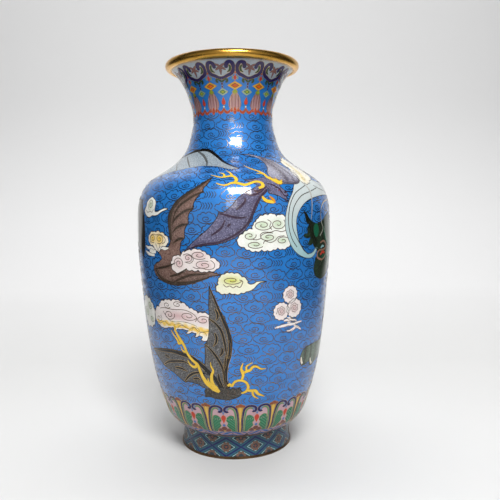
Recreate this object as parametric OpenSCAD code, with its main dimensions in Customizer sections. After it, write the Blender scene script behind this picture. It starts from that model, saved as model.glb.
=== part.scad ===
// Cloisonne vase: a copper body in raised sections, enamelled outside and in, with gilt brass rims.
// Millimetres, +Z up. The origin is the centre of the foot's resting face.
// Every piece is a solid of revolution about Z. Each layer follows one outline, set in from the glossy skin.

/* [Overall size] */
// Height from the resting face to the top of the mouth rim
vase_height = 380; // [300:1:460]
// Outside radius of the belly at its widest
belly_radius = 96.1; // [80:0.1:110]
// Height of the widest part of the belly
belly_height = 208; // [190:1:225]

/* [Neck and mouth] */
// Outside radius of the straight throat
throat_radius = 39.5; // [34:0.1:44]
// Height of the lower end of the straight throat
throat_height = 322; // [318:1:326]
// Length of the straight throat
throat_length = 9; // [5:1:12]
// Outside radius of the flare where it meets the mouth rim
flare_radius = 59.8; // [54:0.1:64]
// Radius of the centre line of the mouth rim's bead
bead_radius = 61.6; // [56:0.1:66]
// Radius of the mouth rim's round section
bead_section = 4.2; // [3:0.1:5]

/* [Foot] */
// Height of the crease where the body meets the foot
foot_height = 22; // [18:0.5:26]
// Outside radius of the foot at the crease
crease_radius = 53.8; // [48:0.1:58]
// Outside radius of the foot just above its rim
foot_radius = 55.3; // [50:0.1:60]
// Height of the brass rim under the foot
foot_rim_height = 1.8; // [1:0.1:3]
// How far the foot rim stands out of the enamel
foot_rim_lip = 0.5; // [0:0.1:1]

/* [Layers] */
// Thickness of the outside enamel
enamel = 1.0; // [0.6:0.1:1.4]
// Thickness of the copper sheet
copper = 1.2; // [0.8:0.1:1.6]
// Thickness of the plain enamel inside
counter_enamel = 0.5; // [0.3:0.1:0.8]
// Width of a soldered seam between two copper sections
seam = 0.6; // [0.3:0.1:1]
// Width of a ring wire at the edge of a band
ring_wire = 0.6; // [0.4:0.1:1]

/* [Bands] */
// Lower edge of the ruyi band under the mouth
ruyi_edge = 355; // [350:1:357]
// Lower edge of the tassel band on the neck
tassel_edge = 326; // [324:1:330]
// Height where the neck ground meets the shoulder ground
neck_base = 290; // [286:1:296]
// Upper edge of the lappet band above the foot
lappet_edge = 61; // [54:1:68]
// Upper edge of the wavy fringe band at the crease
fringe_edge = 30.5; // [28:0.5:33]

/* [Base plate] */
// Radius of the disc let into the turned-in bottom of the body
plate_radius = 45; // [38:0.5:48]

/* [Node] */
// Node to draw

/* [Hidden] */
$fn = 96;

// Depths of the layer faces under the glossy outside skin
copper_face = enamel;
lining_face = enamel + copper;
inner_face = enamel + copper + counter_enamel;

// Heights of the mouth that follow from the rim
bead_height = vase_height - bead_section;
flare_top = bead_height - sqrt(pow(bead_section, 2) - pow(bead_radius - flare_radius, 2));
lip_top = flare_top + 2;

// How far the enamel and the lining reach into the mouth rim's groove
wire_seat = 0.3;
lining_seat = 0.6;

// Levels of the two faces of the body section's turned-in bottom
bottom_face = foot_height + 0.95;
floor_face = bottom_face + copper;

// Stations of the body outline: [height, outside radius, slope of radius over height, chords to the next]
BODY = [
    [foot_height, crease_radius, 2.8, 10],
    [27, 62.2, 0.93, 5],
    [34, 68.4, 0.65, 5],
    [46, 73.2, 0.33, 6],
    [70, 80.5, 0.25, 6],
    [110, 87.7, 0.137, 7],
    [160, belly_radius - 3.2, 0.083, 7],
    [belly_height, belly_radius, 0, 6],
    [232, belly_radius - 0.5, -0.02, 8],
    [250, belly_radius - 3.5, -0.35, 6],
    [262, 85.8, -0.87, 6],
    [274, 69.1, -1.62, 7],
    [neck_base, 49.7, -0.72, 8],
    [308, 42.1, -0.23, 5],
    [throat_height, throat_radius, 0, 1],
    [throat_height + throat_length, throat_radius, 0, 6],
    [345, 43.3, 0.33, 6],
    [358, 48.6, 0.48, 5],
    [366, 53.4, 0.80, 6],
    [flare_top, flare_radius, 1.45, 3],
    [lip_top, flare_radius + 3, 1.55, 1]];

// Stations of the foot outline, from the top of its rim to the crease
FOOT = [
    [foot_rim_height, foot_radius, -0.22, 4],
    [9, crease_radius + 0.45, -0.09, 4],
    [foot_height, crease_radius, 0, 1]];

// Heights where one piece ends and the next begins. Every layer has a point there, so faces match.
MARKS = [fringe_edge, lappet_edge, belly_height - seam / 2, belly_height + seam / 2,
    neck_base - seam / 2, neck_base + seam / 2, tassel_edge, ruyi_edge,
    flare_top - wire_seat, flare_top + wire_seat, flare_top + lining_seat];

// Smooth curve through two stations a and b, at the share t of the way between them
function curve(a, b, t) = let (h = b[0] - a[0])
    a[1] * (1 + 2 * t) * pow(1 - t, 2) + a[2] * h * t * pow(1 - t, 2)
    + b[1] * t * t * (3 - 2 * t) + b[2] * h * t * t * (t - 1);

// Slope of the same curve
function curve_slope(a, b, t) = let (h = b[0] - a[0])
    (a[1] - b[1]) * 6 * t * (t - 1) / h + a[2] * (1 - t) * (1 - 3 * t) + b[2] * t * (3 * t - 2);

// Index of the span of outline s that holds height z
function span(s, z, i = 0) = i >= len(s) - 2 || z < s[i + 1][0] ? i : span(s, z, i + 1);

// Point of outline s at height z, set in by a depth square to the skin
function skin(s, z, depth) = let (
    i = span(s, z),
    t = (z - s[i][0]) / (s[i + 1][0] - s[i][0]),
    r = curve(s[i], s[i + 1], t),
    m = curve_slope(s[i], s[i + 1], t),
    k = sqrt(1 + m * m))
    [r - depth / k, z + depth * m / k];

// Every height at which outline s has a point, marks included
function grid(s) = [for (i = [0 : len(s) - 2], j = [0 : s[i][3] - 1])
    let (step = (s[i + 1][0] - s[i][0]) / s[i][3], z = s[i][0] + step * j)
    each concat([z], [for (m = MARKS) if (m > z + 0.05 && m < z + step - 0.05) m])];

// Heights at which outline s is drawn between z0 and z1
function heights(s, z0, z1) = concat([z0], [for (z = grid(s)) if (z > z0 + 0.05 && z < z1 - 0.05) z], [z1]);

// Section of one layer between two depths, over the heights z0 to z1
function layer(s, z0, z1, outer, inner) = let (h = heights(s, z0, z1), n = len(h))
    concat([for (i = [0 : n - 1]) skin(s, h[i], outer)],
        [for (i = [n - 1 : -1 : 0]) skin(s, h[i], inner)]);

module ring(points) {
    rotate_extrude() polygon(points);
}

// A ring with a rectangular section
module flat_ring(inner, outer, low, high) {
    ring([[inner, low], [outer, low], [outer, high], [inner, high]]);
}

// Brass bead, round in section, grooved from below to seat the end of the neck wall
module mouth_rim() color([0.74, 0.56, 0.25])
    rotate_extrude() difference() {
        translate([bead_radius, bead_height]) circle(bead_section);
        polygon(layer(BODY, flare_top - 3, flare_top + wire_seat, -1, copper_face));
        polygon(layer(BODY, flare_top - 3, lip_top, copper_face, lining_face));
        polygon(layer(BODY, flare_top - 3, flare_top + lining_seat, lining_face, inner_face));
    }

// Spun copper sections of the body, each a single sheet
module neck_shell() color([0.72, 0.43, 0.30])
    ring(layer(BODY, neck_base + seam / 2, lip_top, copper_face, lining_face));

module shoulder_shell() color([0.70, 0.41, 0.28])
    ring(layer(BODY, belly_height + seam / 2, neck_base - seam / 2, copper_face, lining_face));

// The lower section ends in a turned-in flat bottom that carries the base plate
module body_shell() color([0.74, 0.45, 0.31])
    ring(concat([[plate_radius + seam, floor_face], [plate_radius + seam, bottom_face]],
        layer(BODY, foot_height, belly_height - seam / 2, copper_face, lining_face)));

module base_plate() color([0.69, 0.40, 0.27])
    translate([0, 0, bottom_face]) cylinder(r = plate_radius, h = copper);

module foot_shell() color([0.71, 0.42, 0.29])
    ring(layer(FOOT, foot_rim_height, foot_height, copper_face, lining_face));

// Brass rim that closes the lower edge of the foot and rests on the floor
module foot_rim() color([0.66, 0.50, 0.24])
    flat_ring(foot_radius - inner_face - 0.6, foot_radius + foot_rim_lip, 0, foot_rim_height);

// Hard solder between the copper sections
module neck_seam() color([0.70, 0.66, 0.58])
    ring(layer(BODY, neck_base - seam / 2, neck_base + seam / 2, copper_face, lining_face));

module belly_seam() color([0.70, 0.66, 0.58])
    ring(layer(BODY, belly_height - seam / 2, belly_height + seam / 2, copper_face, lining_face));

module plate_seam() color([0.70, 0.66, 0.58])
    flat_ring(plate_radius, plate_radius + seam, bottom_face, floor_face);

module foot_seam() color([0.70, 0.66, 0.58])
    flat_ring(crease_radius - lining_face, crease_radius - 0.4, foot_height, bottom_face);

// Ring wires at the edges of the enamel
module mouth_wire() color([0.60, 0.42, 0.22])
    ring(layer(BODY, flare_top - wire_seat, flare_top + wire_seat, 0, copper_face));

module crease_wire() color([0.60, 0.42, 0.22])
    ring(layer(FOOT, foot_height - ring_wire, foot_height, 0, copper_face));

module foot_wire() color([0.60, 0.42, 0.22])
    ring(layer(FOOT, foot_rim_height, foot_rim_height + ring_wire, 0, copper_face));

// Outside enamel, from the mouth down to the foot
module ruyi_band() color([0.36, 0.30, 0.52])
    ring(layer(BODY, ruyi_edge, flare_top - wire_seat, 0, copper_face));

module tassel_band() color([0.62, 0.40, 0.38])
    ring(layer(BODY, tassel_edge, ruyi_edge, 0, copper_face));

module neck_ground() color([0.16, 0.42, 0.76])
    ring(layer(BODY, neck_base, tassel_edge, 0, copper_face));

module shoulder_ground() color([0.15, 0.40, 0.74])
    ring(layer(BODY, belly_height, neck_base, 0, copper_face));

module body_ground() color([0.14, 0.38, 0.72])
    ring(layer(BODY, lappet_edge, belly_height, 0, copper_face));

module lappet_band() color([0.20, 0.48, 0.36])
    ring(layer(BODY, fringe_edge, lappet_edge, 0, copper_face));

module fringe_band() color([0.66, 0.62, 0.76])
    ring(layer(BODY, foot_height, fringe_edge, 0, copper_face));

module foot_band() color([0.24, 0.48, 0.58])
    ring(layer(FOOT, foot_rim_height + ring_wire, foot_height - ring_wire, 0, copper_face));

// Plain enamel on the inside of the copper
module neck_lining() color([0.22, 0.50, 0.66])
    ring(layer(BODY, neck_base, flare_top + lining_seat, lining_face, inner_face));

module shoulder_lining() color([0.20, 0.48, 0.64])
    ring(layer(BODY, belly_height, neck_base, lining_face, inner_face));

module body_lining() color([0.18, 0.46, 0.62])
    ring(concat([[plate_radius, floor_face + counter_enamel], [plate_radius, floor_face]],
        layer(BODY, foot_height, belly_height, lining_face, inner_face)));

module floor_lining() color([0.20, 0.48, 0.64])
    translate([0, 0, floor_face]) cylinder(r = plate_radius, h = counter_enamel);

module base_lining() color([0.18, 0.46, 0.62])
    translate([0, 0, foot_height])
        cylinder(r = crease_radius - lining_face, h = bottom_face - foot_height);

module foot_lining() color([0.20, 0.48, 0.64])
    ring(layer(FOOT, foot_rim_height, foot_height, lining_face, inner_face));

mouth_rim();
neck_shell();
shoulder_shell();
body_shell();
base_plate();
foot_shell();
foot_rim();
neck_seam();
belly_seam();
plate_seam();
foot_seam();
mouth_wire();
crease_wire();
foot_wire();
ruyi_band();
tassel_band();
neck_ground();
shoulder_ground();
body_ground();
lappet_band();
fringe_band();
foot_band();
neck_lining();
shoulder_lining();
body_lining();
floor_lining();
base_lining();
foot_lining();
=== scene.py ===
"""Looks of the cloisonne vase: wire pictures filled with enamel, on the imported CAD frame.

Lengths below are millimetres until the mesh is made. A place on the skin is (u, z): u is the angle in degrees
round the vase from its front, rising to the right, and z is the height above the floor.
"""

import math
import random

import bpy
import numpy as np
from mathutils import Matrix, Vector
from mathutils.geometry import delaunay_2d_cdt


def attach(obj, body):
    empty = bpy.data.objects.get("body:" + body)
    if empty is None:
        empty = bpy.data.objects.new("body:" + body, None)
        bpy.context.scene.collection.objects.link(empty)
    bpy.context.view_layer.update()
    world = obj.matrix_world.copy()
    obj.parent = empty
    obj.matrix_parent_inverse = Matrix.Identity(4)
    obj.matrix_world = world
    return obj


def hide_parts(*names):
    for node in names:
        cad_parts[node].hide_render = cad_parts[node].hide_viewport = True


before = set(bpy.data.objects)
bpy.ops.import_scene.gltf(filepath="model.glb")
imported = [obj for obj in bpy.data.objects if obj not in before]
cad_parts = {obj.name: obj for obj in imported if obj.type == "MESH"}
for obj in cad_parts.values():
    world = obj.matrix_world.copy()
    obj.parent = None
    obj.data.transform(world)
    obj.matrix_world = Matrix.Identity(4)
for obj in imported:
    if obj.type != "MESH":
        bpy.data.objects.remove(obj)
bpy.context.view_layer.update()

MM = 0.001
random.seed(7)

# Stations of the outside skin, as in the CAD: height, radius, slope of radius over height
BODY = [
    (22, 53.8, 2.8), (27, 62.2, 0.93), (34, 68.4, 0.65), (46, 73.2, 0.33), (70, 80.5, 0.25),
    (110, 87.7, 0.137), (160, 92.9, 0.083), (208, 96.1, 0), (232, 95.6, -0.02), (250, 92.6, -0.35),
    (262, 85.8, -0.87), (274, 69.1, -1.62), (290, 49.7, -0.72), (308, 42.1, -0.23), (322, 39.5, 0),
    (331, 39.5, 0), (345, 43.3, 0.33), (358, 48.6, 0.48), (366, 53.4, 0.80), (372.005, 59.8, 1.45),
    (374.005, 62.8, 1.55),
]
FOOT = [(1.8, 55.3, -0.22), (9, 54.25, -0.09), (22, 53.8, 0)]
BAND_TOP = 371.7
RUYI_EDGE = 355.0
TASSEL_EDGE = 326.0
LAPPET_EDGE = 61.0
FRINGE_EDGE = 30.5
CREASE = 22.0

# Heights above the blue ground of each layer of the picture, in millimetres
FIELD = 0.035
INLAY = 0.055
DETAIL = 0.075
LEVEL = 0.012       # added for each picture that a picture lies in front of
WIRE_TOP = 0.12     # top of the wires, where the CAD's skin is
STROKE_RISE = 0.02  # how far the middle of a stroke stands above its edges

STEPS = 320         # faces round the vase
FLATNESS = 0.008    # how far a flat triangle may lie from the round skin
DEGREE = 1.6        # about how many millimetres of skin a degree spans on the belly
TINY = 1e-9


# ---------------------------------------------------------------- skin

def hermite(a, b, leave, arrive, t):
    """A cubic from a to b that leaves and arrives with the given slopes, for t from 0 to 1."""
    start = a * (1 + 2 * t) * (1 - t) ** 2 + leave * t * (1 - t) ** 2
    return start + b * t * t * (3 - 2 * t) + arrive * t * t * (t - 1)


def outline(stations, z):
    """Radius and slope of the skin at heights z."""
    s = np.array(stations, float)
    z = np.asarray(z, float)
    i = np.clip(np.searchsorted(s[:, 0], z, side="right") - 1, 0, len(s) - 2)
    a, b = s[i], s[i + 1]
    h = b[..., 0] - a[..., 0]
    t = (z - a[..., 0]) / h
    r = hermite(a[..., 1], b[..., 1], a[..., 2] * h, b[..., 2] * h, t)
    m = (a[..., 1] - b[..., 1]) * 6 * t * (t - 1) / h + a[..., 2] * (1 - t) * (1 - 3 * t)
    m = m + b[..., 2] * t * (3 * t - 2)
    return r, m


def place(stations, uz, lift):
    """Points and outward normals for (u, z) rows, in metres. A lift of WIRE_TOP reaches the CAD skin."""
    uz = np.asarray(uz, float)
    r, m = outline(stations, uz[:, 1])
    a = np.radians(uz[:, 0])
    k = 1.0 / np.sqrt(1 + m * m)
    n = np.stack([np.sin(a) * k, -np.cos(a) * k, -m * k], 1)
    p = np.stack([r * np.sin(a), -r * np.cos(a), uz[:, 1]], 1)
    lift = np.asarray(lift, float).reshape(-1, 1) - WIRE_TOP
    return (p + n * lift) * MM, n


def heights(stations, low, high, most):
    """Heights from low to high, closer together where the skin curves more."""
    out = [low]
    while out[-1] < high:
        z = out[-1]
        m = float(outline(stations, z)[1])
        bend = abs(float(outline(stations, z + 0.5)[1]) - float(outline(stations, z - 0.5)[1]))
        lean = math.sqrt(1 + m * m)
        along = math.sqrt(8 * FLATNESS / max(1e-6, bend / lean ** 3))
        out.append(z + min(most, along) / lean)
    if len(out) > 2 and high - out[-2] < 0.4 * (out[-1] - out[-2]):
        out.pop(-2)
    out[-1] = high
    return np.array(out)


def to_mm(stations, uz):
    """Local scale of (u, z): millimetres along the skin for a degree and for a millimetre of height."""
    r, m = outline(stations, np.asarray(uz, float)[:, 1])
    return np.stack([np.radians(1) * r, np.sqrt(1 + m * m)], 1)


# ---------------------------------------------------------------- curves in (u, z)

def smooth(points, closed=False, step=5):
    """Catmull-Rom curve through the points. A point with a third value is a corner."""
    pts = [np.array(p[:2], float) for p in points]
    corner = [len(p) > 2 for p in points]
    n = len(pts)
    out = []
    for i in range(n if closed else n - 1):
        j = (i + 1) % n
        a, b = pts[i], pts[j]
        before = pts[i - 1] if (i > 0 or closed) and not corner[i] else a
        after = pts[(j + 1) % n] if (j < n - 1 or closed) and not corner[j] else b
        ta = (b - before) / 2
        tb = (after - a) / 2
        for k in range(step):
            t = k / step
            out.append(hermite(a, b, ta, tb, t))
    if not closed:
        out.append(pts[-1])
    return np.array(out)


def scallops(points, bulge=0.36, closed=True, step=7, scale=DEGREE):
    """Round lobes that bulge to the left of each leg. A third value is that leg's own bulge."""
    pts = [np.array(p[:2], float) for p in points]
    out = []
    n = len(pts)
    for i in range(n if closed else n - 1):
        a, b = pts[i], pts[(i + 1) % n]
        d = (b - a) * np.array([scale, 1.0])
        normal = np.array([-d[1], d[0]])
        amount = points[i][2] if len(points[i]) > 2 else bulge
        for k in range(step):
            t = k / step
            q = a + (b - a) * t
            q = q + normal * amount * 4 * t * (1 - t) * 0.72 / np.array([scale, 1.0])
            out.append(q)
    if not closed:
        out.append(pts[-1])
    return np.array(out)


def spiral(u, z, rx, rz, turns, start, hand, scale=DEGREE):
    """Spiral wire about (u, z), growing to radii rx and rz in millimetres."""
    count = int(18 * turns) + 4
    out = []
    for k in range(count + 1):
        t = k / count
        a = math.radians(start) + hand * 2 * math.pi * turns * (t - 1)
        grow = 0.12 + 0.88 * t ** 0.9
        out.append((u + rx * grow * math.cos(a) / scale, z + rz * grow * math.sin(a)))
    return np.array(out)


def resample(stations, path, spacing, closed=False):
    """Points along the path about the given spacing apart, measured along the skin."""
    path = np.asarray(path, float)
    if closed:
        path = np.vstack([path, path[:1]])
    s = to_mm(stations, path)
    mid = (s[1:] + s[:-1]) / 2
    length = np.concatenate([[0], np.cumsum(np.linalg.norm(np.diff(path, axis=0) * mid, axis=1))])
    count = max(2, int(length[-1] / spacing) + 1)
    at = np.linspace(0, length[-1], count + 1)
    out = np.stack([np.interp(at, length, path[:, 0]), np.interp(at, length, path[:, 1])], 1)
    return out[:-1] if closed else out


def offset(stations, path, distance, closed=False):
    """The path moved to its left by a distance along the skin."""
    path = np.asarray(path, float)
    s = to_mm(stations, path)
    if closed:
        d = np.roll(path, -1, 0) - np.roll(path, 1, 0)
    else:
        d = np.gradient(path, axis=0)
    d = d * s
    d = d / np.maximum(TINY, np.linalg.norm(d, axis=1))[:, None]
    normal = np.stack([-d[:, 1], d[:, 0]], 1)
    return path + normal * np.asarray(distance, float).reshape(-1, 1) / s


def inside(polygon, points):
    """Which points lie inside the polygon."""
    x, y = points[:, 0], points[:, 1]
    hit = np.zeros(len(points), bool)
    ax, ay = polygon[:, 0], polygon[:, 1]
    bx, by = np.roll(ax, -1), np.roll(ay, -1)
    for i in range(len(polygon)):
        if ay[i] == by[i]:
            continue
        cross = (ay[i] > y) != (by[i] > y)
        hit ^= cross & (x < (bx[i] - ax[i]) * (y - ay[i]) / (by[i] - ay[i]) + ax[i])
    return hit


# ---------------------------------------------------------------- layers of geometry

LAYERS = {}     # geometry gathered so far, by the name of its piece
CLIPS = []      # outlines of pictures with their level: what lies behind is cut there
WIRES = []      # wires waiting to be cut


class Layer:
    """Geometry of one piece, gathered before its mesh is made."""

    def __init__(self):
        self.points, self.normals, self.faces, self.tints = [], [], [], []
        self.size = 0

    def add(self, points, normals, faces, tints):
        """Take in points with their normals and tints, and the faces that join them."""
        self.points.append(points)
        self.normals.append(normals)
        self.tints.append(tints)
        self.faces.append(np.asarray(faces, int) + self.size)
        self.size += len(points)


def layer(name):
    """The layer with this name, made when first asked for."""
    return LAYERS.setdefault(name, Layer())


class Spot:
    """Where a picture goes: turned round the vase, mirrored if asked, and how far forward it lies."""

    def __init__(self, stations=BODY, turn=0.0, mirror=False, level=0):
        self.stations = stations
        self.turn = turn
        self.mirror = mirror
        self.level = level

    def at(self, level):
        """The same place, further forward."""
        return Spot(self.stations, self.turn, self.mirror, level)

    def move(self, path):
        """A path as drawn, brought to its place on the vase."""
        path = np.array([p[:2] for p in path], float)
        if self.mirror:
            path[:, 0] = -path[:, 0]
        path[:, 0] += self.turn
        return path

    def back(self, path):
        """A path on the vase, as it was drawn."""
        path = np.array(path, float)
        path[:, 0] -= self.turn
        if self.mirror:
            path[:, 0] = -path[:, 0]
        return path


EDGE_STEP = 1.2     # between the points of a field's edge, millimetres
INNER_TRIANGLES = 1     # what the triangulation gives back: only what lies inside the edge
MERGE = 1e-5        # points nearer than this become one


def fill(name, path, spot, lift=FIELD, tint=None, grid=3.0):
    """A field of enamel inside a closed path, with inner points about a grid step apart."""
    st = spot.stations
    path = spot.move(path)
    edge = resample(st, path, EDGE_STEP, closed=True)
    radius = float(outline(st, edge[:, 1].mean())[0])
    scale = np.array([np.radians(1) * radius, 1.0])
    flat = edge * scale
    low, high = flat.min(0), flat.max(0)
    rows = heights(st, low[1] + 0.4 * EDGE_STEP, high[1], grid)[:-1]
    across = min(grid, math.sqrt(8 * FLATNESS * radius))
    gx, gy = np.meshgrid(np.arange(low[0] + across / 2, high[0], across), rows)
    seeds = np.stack([gx.ravel(), gy.ravel()], 1)
    seeds = seeds[inside(flat, seeds)]
    every = np.vstack([flat, seeds]) if len(seeds) else flat
    n = len(flat)
    edges = [(i, (i + 1) % n) for i in range(n)]
    found = delaunay_2d_cdt([Vector(p) for p in every], edges, [], INNER_TRIANGLES, MERGE)
    uz = np.array([tuple(v) for v in found[0]]) / scale
    tris = np.array([f for f in found[2] if len(f) == 3], int)
    if not len(tris):
        return
    p, normals = place(st, uz, lift + LEVEL * spot.level)
    a, b, c = uz[tris[:, 0]], uz[tris[:, 1]], uz[tris[:, 2]]
    turn = (b[:, 0] - a[:, 0]) * (c[:, 1] - a[:, 1]) - (b[:, 1] - a[:, 1]) * (c[:, 0] - a[:, 0])
    tris[turn < 0] = tris[turn < 0][:, ::-1]
    tints = np.zeros(len(uz)) if tint is None else np.clip(tint(spot.back(uz)), 0, 1)
    layer(name).add(p, normals, tris, tints)


FINE_WIRE = 0.45    # width of the thinner wires, millimetres
TILT = 0.08         # how round the top of a wire or stroke looks


def strip(name, path, spot, width, low, high, closed=False):
    """A ribbon along a path on the vase, highest along its middle. Width may vary along it."""
    st = spot.stations
    n = len(path)
    if n < 2:
        return
    half = np.broadcast_to(np.asarray(width, float) / 2, (n,))
    left, left_normals = place(st, offset(st, path, half, closed), low)
    middle, middle_normals = place(st, path, high)
    right, right_normals = place(st, offset(st, path, -half, closed), low)
    side = (left - right) / np.maximum(TINY, np.linalg.norm(left - right, axis=1))[:, None]
    i = np.arange(n if closed else n - 1)
    j = (i + 1) % n
    faces = np.vstack([
        np.stack([i, n + i, n + j], 1), np.stack([i, n + j, j], 1),
        np.stack([n + i, 2 * n + i, 2 * n + j], 1), np.stack([n + i, 2 * n + j, n + j], 1),
    ])
    normals = np.vstack([left_normals + side * TILT, middle_normals, right_normals - side * TILT])
    normals = normals / np.linalg.norm(normals, axis=1)[:, None]
    layer(name).add(np.vstack([left, middle, right]), normals, faces, np.zeros(3 * n))


def wire(name, path, spot, width=0.5, closed=False, spacing=0.9):
    """One cloison wire. It waits in WIRES until every picture is known."""
    WIRES.append((name, resample(spot.stations, spot.move(path), spacing, closed), spot, width, closed))


def strokes(name, rows, spot, edge_wire="wire_dark"):
    """Strokes of one enamel: the points and the widths of each."""
    for points, widths in rows:
        brush(name, points, widths, spot, edge_wire)


def brush(name, points, widths, spot, edge_wire=None, lift=INLAY, spacing=1.0):
    """A stroke of enamel that swells and tapers, with a wire along each side."""
    path = smooth(points)
    w = np.interp(np.linspace(0, 1, len(path)), np.linspace(0, 1, len(widths)), widths)
    line = resample(spot.stations, spot.move(path), spacing)
    w = np.interp(np.linspace(0, 1, len(line)), np.linspace(0, 1, len(w)), w)
    lift = lift + LEVEL * spot.level
    strip(name, line, spot, w, lift, lift + STROKE_RISE)
    sides = [offset(spot.stations, line, side * w / 2) for side in (1, -1)]
    if edge_wire:
        WIRES.extend((edge_wire, side, spot, FINE_WIRE, False) for side in sides)
    if spot.level:
        CLIPS.append((np.vstack([sides[0], sides[1][::-1]]), spot.level))


def field(name, path, spot, edge_width, tint):
    """A field of enamel with its outline wire. What lies behind it is cut away."""
    fill(name, path, spot, FIELD, tint)
    wire("wire_dark", path, spot, edge_width, closed=True)
    CLIPS.append((resample(spot.stations, spot.move(path), 2.0, True), spot.level))


def behind(points, level):
    """Which points lie behind a picture further forward than this level."""
    hit = np.zeros(len(points), bool)
    low, high = points.min(0), points.max(0)
    for polygon, forward in CLIPS:
        if forward <= level:
            continue
        for turn in (-360, 0, 360):
            near_low, near_high = polygon.min(0) + (turn, 0), polygon.max(0) + (turn, 0)
            if np.any(near_low > high) or np.any(near_high < low):
                continue
            close = np.all((points > near_low) & (points < near_high), axis=1)
            if close.any():
                hit[close] |= inside(polygon + (turn, 0), points[close])
    return hit


def runs(path, off):
    """The stretches of a path that aren't off."""
    run = []
    for point, gone in zip(path, off):
        if gone:
            if len(run) > 2:
                yield np.array(run)
            run = []
        else:
            run.append(point)
    if len(run) > 2:
        yield np.array(run)


def cut_wires():
    """Make the wires, without what lies behind a picture further forward."""
    for name, path, spot, width, closed in WIRES:
        off = behind(path, spot.level)
        if not off.any():
            strip(name, path, spot, width, 0.0, WIRE_TOP, closed)
            continue
        if closed:
            path, off = np.vstack([path, path[:1]]), np.append(off, off[0])
        for run in runs(path, off):
            strip(name, run, spot, width, 0.0, WIRE_TOP)


def near(paths, spread):
    """A tint that is strongest along the paths and fades over the spread, in millimetres."""
    if not paths:
        return None
    pts = np.vstack(paths) * np.array([DEGREE, 1.0])

    def tint(uz):
        q = uz * np.array([DEGREE, 1.0])
        d = np.min(np.linalg.norm(q[:, None, :] - pts[None, :, :], axis=2), axis=1)
        return np.exp(-((d / spread) ** 2))

    return tint


def dot(name, u, z, radius, spot, edge="wire_dark", lift=INLAY, tall=1.0, edge_width=FINE_WIRE, clip=False):
    """A round or oval spot of enamel."""
    wide = radius / (np.radians(1) * float(outline(spot.stations, z)[0]))
    ring = [
        (u + wide * math.cos(a), z + radius * tall * math.sin(a))
        for a in np.linspace(2 * math.pi, 0, 17)[:-1]
    ]
    fill(name, ring, spot, lift, grid=9)
    if edge:
        wire(edge, ring, spot, edge_width, closed=True, spacing=0.7)
    if clip:
        CLIPS.append((spot.move(ring), spot.level))


# ---------------------------------------------------------------- pictures on the blue ground

CLOUD_EDGE = 0.95   # widths of the wires round and in a cloud
CLOUD_WIRE = 0.85


def hearts(curls, spread):
    """A tint that fills the middle of each curl."""
    def tint(uz):
        out = np.zeros(len(uz))
        for u, z, rx, rz in (c[:4] for c in curls):
            d = np.hypot((uz[:, 0] - u) * DEGREE / rx, (uz[:, 1] - z) / rz)
            out = np.maximum(out, np.exp(-((d / spread) ** 2)))
        return out

    return tint


def cloud(name, cusps, curls, spot, lines=(), spread=0.75):
    """A scalloped cloud with spiral wires. Each curl is u, z, rx, rz, turns, start angle, hand."""
    field(name, scallops(cusps), spot, CLOUD_EDGE, tint=hearts(curls, spread))
    cloud_wires(curls, lines, spot)


def cloud_wires(curls, lines, spot):
    """The spirals and the other wires inside a cloud."""
    for path in [spiral(*curl) for curl in curls] + [smooth(line) for line in lines]:
        wire("wire_brown", path, spot, CLOUD_WIRE)


def rose_cloud(spot):
    """The pink cloud over the brown bat."""
    cusps = [
        (-34.3, 188.3), (-33.8, 193), (-30.8, 197.3), (-28, 196.5), (-27.5, 198.7), (-24.5, 201.4),
        (-21.5, 202.3), (-18, 203), (-15.5, 201.7), (-13, 199), (-11, 197), (-11.3, 195.6), (-7.6, 193.5),
        (-6.2, 189.5), (-8, 186.4), (-12, 184.8), (-14.5, 184), (-18, 185.4), (-21.5, 185.2), (-25, 186.3),
        (-28.5, 183), (-32.6, 183.2),
    ]
    curls = [
        (-29.4, 190.6, 5.2, 5.4, 1.7, 200, 1), (-23.6, 195.6, 4.4, 3.6, 1.5, 250, -1),
        (-17.4, 198.2, 7.6, 3.9, 1.6, 320, 1), (-14.8, 189.6, 8.2, 3.9, 1.5, 60, -1),
    ]
    lines = [
        [(-26.5, 198), (-24, 199.2), (-21.5, 197.5), (-20.5, 194), (-22.5, 191), (-25.6, 192)],
        [(-21, 188), (-19, 186.6), (-16, 187), (-13, 185.8), (-9.5, 187), (-9, 191), (-11, 194)],
    ]
    cloud("cloud_pink", cusps, curls, spot, lines=lines)


def tailed_cloud(spot):
    """A pale cloud with one green curl and a tail, high at the left edge."""
    path = smooth([
        (-51.5, 249.3), (-54.5, 247.5, 1), (-56.6, 244.5), (-56.7, 241, 1), (-57.8, 239), (-58.6, 236),
        (-57, 232.7, 1), (-54.8, 231), (-52.2, 230.4), (-49.6, 232.3, 1), (-47.5, 231.9), (-44.5, 232.7),
        (-41.5, 235.2), (-38.3, 237), (-36, 238.4, 1), (-38.8, 239), (-42, 237.5), (-44.5, 235.9),
        (-47, 236.2), (-46.9, 240), (-46.6, 243.5, 1), (-47.6, 246.2), (-49.3, 247.6, 1),
    ], closed=True, step=4)
    curl = spiral(-51.8, 242.2, 4.6, 5.2, 1.7, 250, 1)
    frill = smooth([(-56.4, 237), (-54.5, 235), (-52, 236.2), (-49.8, 235.2), (-48.5, 238)])
    field("cloud_green", path, spot, CLOUD_EDGE, tint=hearts([(-51.8, 242.2, 4.6, 5.2)], 0.75))
    wire("wire_brown", curl, spot, 0.7)
    wire("wire_brown", frill, spot, 0.7)


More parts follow.
